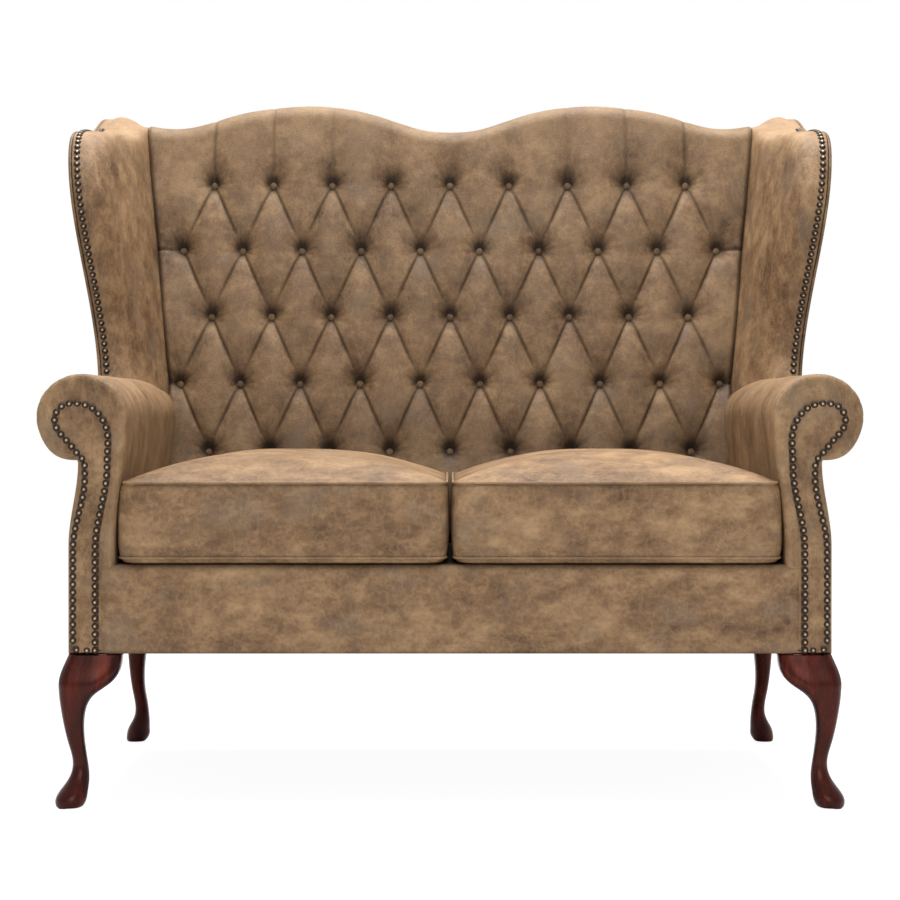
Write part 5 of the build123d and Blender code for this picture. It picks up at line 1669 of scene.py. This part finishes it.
@dataclass
class OutsideBack(Dressed):
    """The plain panel stretched over the back of the sofa."""

    arm: Arm = field(default_factory=Arm)
    wing: Wing = field(default_factory=Wing)
    tufts: TuftedBack = field(default_factory=TuftedBack)
    low: float = 236.0
    high: float = 1142.0
    out: float = -34.4
    rows: int = 190
    columns: int = 201
    narrow: float = 0.996
    wing_top: tuple[tuple[float, float], ...] = ((548.0, 1131.0), (600.0, 1155.0), (660.0, 1155.0))
    top_under: float = 3.0
    crown: float = 4.0
    rim_round: float = 4.0

    def half_width(self, along: Points) -> Points:
        """Give the half width of the panel up the rake, over the arms and the wings."""
        height = along * math.cos(RAKE.lean) + self.out * math.sin(RAKE.lean)
        loop = self.arm.outline()
        wide = np.full(height.shape, self.arm.outer)
        for at, level in enumerate(height):
            near = loop[np.abs(loop[:, 1] - level) < 5.0]
            if len(near):
                wide[at] = near[:, 0].max()
        wide = np.where(height > self.arm.roll[1] + self.arm.radii[1] - 1.0, 0.0, wide)
        outer = self.wing.outer_x(RAKE.depth_at(height, self.out), height)
        return np.where(height > self.arm.roll[1], np.maximum(wide, outer), wide)

    def build(self, finishes: Finishes) -> None:
        """Make the panel."""
        share = np.linspace(-1.0, 1.0, self.columns)
        bottom = self.low / math.cos(RAKE.lean)
        wide = self.half_width(np.linspace(bottom, self.high, self.rows))
        x = wide[:, None] * share[None, :] * self.narrow
        wing_top = np.interp(np.abs(x[-1]), *zip(*self.wing_top))
        between = np.abs(x[-1]) < self.wing_top[0][0]
        top = np.where(between, self.tufts.top_line(x[-1]), wing_top) - self.top_under
        rise = np.linspace(0.0, 1.0, self.rows)[:, None]
        up = bottom + rise * (self.high - bottom)
        blend = ease(0.72, 1.0, rise)
        up = up * (1 - blend) + blend * (bottom + rise * (top[None, :] - bottom))
        rim = np.minimum(1.0 - np.abs(share)[None, :], np.minimum(rise, 1 - rise) * 1.4)
        edge = ease(0.02, 0.0, rim)
        out = self.out + self.rim_round * edge - self.crown * ease(0.0, 0.5, rim)
        points = RAKE.points(x, up, out).reshape(-1, 3)
        inside = RAKE.points(0.0, 700.0, 20.0)
        piece = place_mesh("back_panel", points, sheet_faces(self.rows, self.columns), inside)
        # Painted shade along the panel's rim.
        self.dress(piece, finishes.outside, ["outside_back"], crease=0.6 * edge)


@dataclass
class SeatBase(Dressed):
    """The cloth deck under the cushions and the dust cover under the frame."""

    slot: Slot = Slot.CLOTH
    columns: int = 90
    rows: int = 50
    deck_sag: float = 3.0
    deck_round: float = 6.0
    base_sag: float = 2.5

    def _over(self, node: str) -> tuple[Points, Points, Points, Points]:
        """Lay a level grid over a node's top.

        Args:
            node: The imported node.

        Returns:
            The lowest and highest corners of its box, the grid's points at the top of the box and
            how far each is from the box's rim.
        """
        low, high = (np.array(corner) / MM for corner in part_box(node))
        across = np.linspace(low[0], high[0], self.columns)
        back = np.linspace(low[1], high[1], self.rows)
        x, y = (grid.ravel() for grid in np.meshgrid(across, back))
        rim = np.minimum(np.minimum(x - low[0], high[0] - x), np.minimum(y - low[1], high[1] - y))
        return low, high, np.stack([x, y, np.full(len(x), high[2])], 1), rim

    def build(self, finishes: Finishes) -> None:
        """Make the deck pad and the dust cover."""
        faces = sheet_faces(self.rows, self.columns)
        low, _, points, rim = self._over("seat_deck")
        edge = self.deck_round * ease(4.0, 0.0, rim)
        points[:, 2] -= 0.5 + self.deck_sag * ease(0.0, 160.0, rim) + edge
        deck = place_mesh("deck_pad", points, faces, (0.0, 0.0, low[2]))
        self.dress(deck, finishes.deck, ["seat_deck"], fill=0.4)
        low, high, points, rim = self._over("dust_cover")
        points[:, 2] -= 0.6 + self.base_sag * ease(0.0, 220.0, rim)
        base = place_mesh("base_cloth", points, faces, (0.0, 0.0, high[2] + 200.0))
        self.dress(base, finishes.base, ["dust_cover"])


# Legs

LegStops = tuple[tuple[float, ...], ...]
FRONT_CORNER = (574.5, 0.0)
FRONT_LEG: LegStops = (
    (1.0, -14.5, 20.0, -14.5, 20.0, 0.0, 2.1),
    (4.0, -17.0, 24.5, -17.0, 24.5, 0.0, 2.1),
    (12.0, -17.8, 28.0, -17.8, 28.0, 0.0, 2.1),
    (22.0, -13.6, 29.5, -13.6, 29.5, 0.0, 2.1),
    (36.0, -3.5, 30.5, -3.5, 30.5, 0.0, 2.2),
    (52.0, 4.2, 30.0, 4.2, 30.0, 0.0, 2.2),
    (68.0, 5.8, 28.0, 5.8, 28.0, 0.0, 2.3),
    (94.0, 0.5, 25.0, 0.5, 25.0, 0.0, 2.5),
    (128.0, -6.7, 24.0, -6.7, 24.0, 0.0, 2.8),
    (150.0, -10.3, 27.5, -10.3, 27.5, 0.0, 3.0),
    (164.0, -12.3, 33.0, -12.3, 33.0, 2.0, 3.2),
    (176.0, -13.4, 37.0, -13.4, 37.0, 13.0, 3.4),
    (188.0, -13.6, 38.0, -13.6, 38.0, 28.0, 3.6),
    (205.0, -9.5, 38.0, -9.5, 38.0, 39.0, 4.0),
    (218.0, -4.2, 38.0, -4.2, 38.0, 42.0, 4.2),
    (230.0, 0.7, 38.0, 0.7, 38.0, 42.5, 4.4),
)
REAR_CORNER = (552.0, 616.0)
REAR_LEG: LegStops = (
    (1.0, -29.5, 0.0, 2.0, 30.5, 0.0, 2.1),
    (5.0, -31.5, 5.0, -1.5, 33.5, 0.0, 2.1),
    (13.0, -31.0, 9.5, -4.5, 33.5, 0.0, 2.1),
    (24.0, -28.0, 11.0, -9.0, 27.0, 0.0, 2.1),
    (38.0, -20.0, 12.0, -14.5, 16.0, 0.0, 2.2),
    (55.0, -13.0, 12.0, -19.5, 7.0, 0.0, 2.3),
    (75.0, -12.5, 10.5, -25.0, 0.5, 0.0, 2.4),
    (99.0, -16.0, 7.5, -31.5, -5.5, 0.0, 2.6),
    (130.0, -19.5, 7.0, -38.0, -9.5, 0.0, 2.8),
    (161.0, -21.5, 10.0, -44.0, -12.0, 0.0, 3.0),
    (195.0, -22.5, 15.0, -50.0, -12.5, 0.0, 3.4),
    (230.0, -23.0, 20.0, -54.0, -12.0, 0.0, 3.8),
)


@dataclass
class CabrioleLeg(Dressed):
    """One cabriole leg: a pad foot, a slim ankle and a full knee, with wings at a front knee.

    A stop gives a height, how far in from the corner the leg begins and ends, how far back it
    begins and ends, how far its wings reach past it and how square it is there.
    """

    slot: Slot = Slot.LEGS
    side: Side = Side.RIGHT
    name: str = "leg_front"
    corner: tuple[float, float] = FRONT_CORNER
    stops: LegStops = FRONT_LEG
    brackets: tuple[str, ...] = ()
    foot: float = 20.0
    recede: float = 7.0
    around: int = 176
    dense: int = 1440

    def build(self, finishes: Finishes) -> None:
        """Make the leg."""
        curve = curve_through(self.stops, 1200)
        lowest, highest = self.stops[0][0], self.stops[-1][0]
        foot = np.linspace(lowest, self.foot, 16)
        rings = []
        for height in np.concatenate([foot, np.linspace(self.foot, highest, 76)[1:]]):
            flat = self._section(*(np.interp(height, curve[:, 0], spans) for spans in curve.T[1:]))
            level = np.full(self.around, height)
            rings.append(np.stack([self.corner[0] - flat[:, 0], self.corner[1] + flat[:, 1], level], 1))
        last = (len(rings) - 1) * self.around
        faces = sheet_faces(len(rings), self.around, closed=True)
        faces.append(tuple(reversed(range(self.around))))
        faces.append(tuple(range(last, last + self.around)))
        middle = on_side([rings[len(rings) // 2]], self.side).mean(axis=0)
        points = on_side(rings, self.side)
        piece = place_mesh(self.side.name_of(f"turned_{self.name}"), points, faces, middle)
        self.dress(piece, finishes.legs, [self.side.name_of(self.name), *self.brackets])

    def _section(
        self, left: float, right: float, front: float, back: float, wing: float, square: float
    ) -> Points:
        """Give the leg's outline at one height.

        Args:
            left: Where the leg begins, in from the corner.
            right: Where it ends.
            front: Where it begins, back from the corner.
            back: Where it ends.
            wing: How far each wing reaches past the leg.
            square: The power of the rounded square that the outline follows.

        Returns:
            The outline's places in from the corner and back from it.
        """
        wing = max(0.0, wing)
        centre = np.array([left + right, front + back]) / 2
        turn = np.linspace(-math.pi, math.pi, self.around, endpoint=False)
        fine = np.linspace(-math.pi, math.pi, self.dense, endpoint=False)
        unit = np.stack([np.cos(fine), np.sin(fine)], 1)
        unit = np.sign(unit) * np.abs(unit) ** (2.0 / square)
        reach = np.zeros(self.around)
        for more in (np.array([wing, 0.0]), np.array([0.0, wing])):
            half = (np.array([right - left, back - front]) + more) / 2
            gap = more / 2 + unit * half
            angle = np.arctan2(gap[:, 1], gap[:, 0])
            order = np.argsort(angle)
            far = np.hypot(gap[:, 0], gap[:, 1])[order]
            reach = np.maximum(reach, np.interp(turn, angle[order], far, period=2 * math.pi))
        flat = centre + reach[:, None] * np.stack([np.cos(turn), np.sin(turn)], 1)
        if wing > 0.5:
            past = np.clip((flat - (right, back)) / wing, 0.0, 1.0) ** 1.5
            depth = np.clip((flat - (left, front)) / (right - left, back - front), 0.0, 1.0)
            flat = flat + self.recede * (past * (1.0 - depth[:, ::-1]))[:, ::-1]
        return flat


# Studio


@dataclass
class Studio:
    """The plain floor, the soft light and the camera of the photograph's view."""

    camera_y: float = -3.478
    camera_z: float = 0.589
    lens: float = 82.67
    shift: float = -0.0389
    ambient: float = 0.52
    lamp_size: float = 2.4
    overhead_power: float = 244.0
    front_power: float = 60.0
    floor_reach: float = 30000.0
    floor_white: float = 1.15
    floor_share: float = 0.8

    def build(self) -> None:
        """Make the camera, the lamps, the world and the floor."""
        scene = bpy.context.scene
        scene.view_settings.view_transform = "Standard"
        view = bpy.data.cameras.new("photo_view")
        view.lens = self.lens
        view.sensor_width = 36.0
        view.shift_y = self.shift
        camera = bpy.data.objects.new("photo_view", view)
        camera.location = (0.0, self.camera_y, self.camera_z)
        camera.rotation_euler = (math.pi / 2, 0.0, 0.0)
        scene.collection.objects.link(camera)
        scene.camera = camera
        self._lamp("overhead", (0.0, 0.05, 3.4), (0.0, 0.06, 0.5), self.overhead_power)
        self._lamp("front", (0.0, -4.2, 2.0), (0.0, 0.0, 0.6), self.front_power)
        self._world(scene)
        self._floor()

    def _lamp(self, name: str, place: Colour, target: Colour, power: float) -> None:
        """Hang a square soft lamp that faces a point."""
        data = bpy.data.lights.new(name, "AREA")
        data.size = self.lamp_size
        data.energy = power
        lamp = bpy.data.objects.new(name, data)
        lamp.location = place
        aim = np.array(target) - np.array(place)
        flat = math.hypot(aim[0], aim[1])
        lamp.rotation_euler = (math.atan2(flat, -aim[2]), 0.0, math.atan2(aim[1], aim[0]) - math.pi / 2)
        bpy.context.scene.collection.objects.link(lamp)

    def _world(self, scene: bpy.types.Scene) -> None:
        """Make a world that looks white and lights softly."""
        scene.world = bpy.data.worlds.new("studio")
        tree = ShaderTree(scene.world, "Background")
        seen = tree.ray("Camera").larger(tree.ray("Glossy").larger(tree.ray("Transmission")))
        tree.surface(Color=(1.0, 1.0, 1.0), Strength=self.ambient + seen * (1.0 - self.ambient))

    def _floor(self) -> None:
        """Make a pale floor that keeps the sofa's shadow."""
        ends = ((-1, -1), (1, -1), (1, 1), (-1, 1))
        corners = np.array([(x * self.floor_reach, y * self.floor_reach, 0.0) for x, y in ends])
        floor = place_mesh("studio_floor", corners, [(0, 1, 2, 3)], (0.0, 0.0, -1000.0))
        tree = ShaderTree(bpy.data.materials.new("studio_floor"))
        tree.surface(Base_Color=(0.9, 0.9, 0.9), Roughness=0.9, Specular_IOR_Level=0.0)
        plain = Socket(tree, tree.shader.outputs[0])
        inputs = {"Color": (1.0, 1.0, 1.0), "Strength": self.floor_white}
        glow = tree.node("ShaderNodeEmission", None, inputs)
        share = tree.ray("Camera") * self.floor_share
        mixed = tree.node("ShaderNodeMixShader", None, {0: share, 1: plain, 2: glow})
        tree.feed(tree.nodes["Material Output"].inputs["Surface"], mixed)
        floor.data.materials.append(tree.owner)


def main() -> None:
    """Dress the frame, piece by piece."""
    logging.basicConfig(level=logging.INFO, format="%(name)s: %(message)s")
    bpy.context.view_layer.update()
    Studio().build()
    finishes = Finishes()
    finishes.dress_nodes()
    TuftedBack().build(finishes)
    for side in Side:
        Wing(side=side).build(finishes)
        Arm(side=side).build(finishes)
        NailTrim(node=side.name_of("arm_nails")).build(finishes)
        NailTrim(node=side.name_of("wing_nails")).build(finishes)
        SeatCushion(side=side, body=side.name_of("cushion")).build(finishes)
    FrontBorder().build(finishes)
    OutsideBack().build(finishes)
    for side in Side:
        CabrioleLeg(side=side, brackets=("leg_brackets",)).build(finishes)
        CabrioleLeg(side=side, name="leg_rear", corner=REAR_CORNER, stops=REAR_LEG).build(finishes)
    SeatBase().build(finishes)


if __name__ == "__main__":
    main()
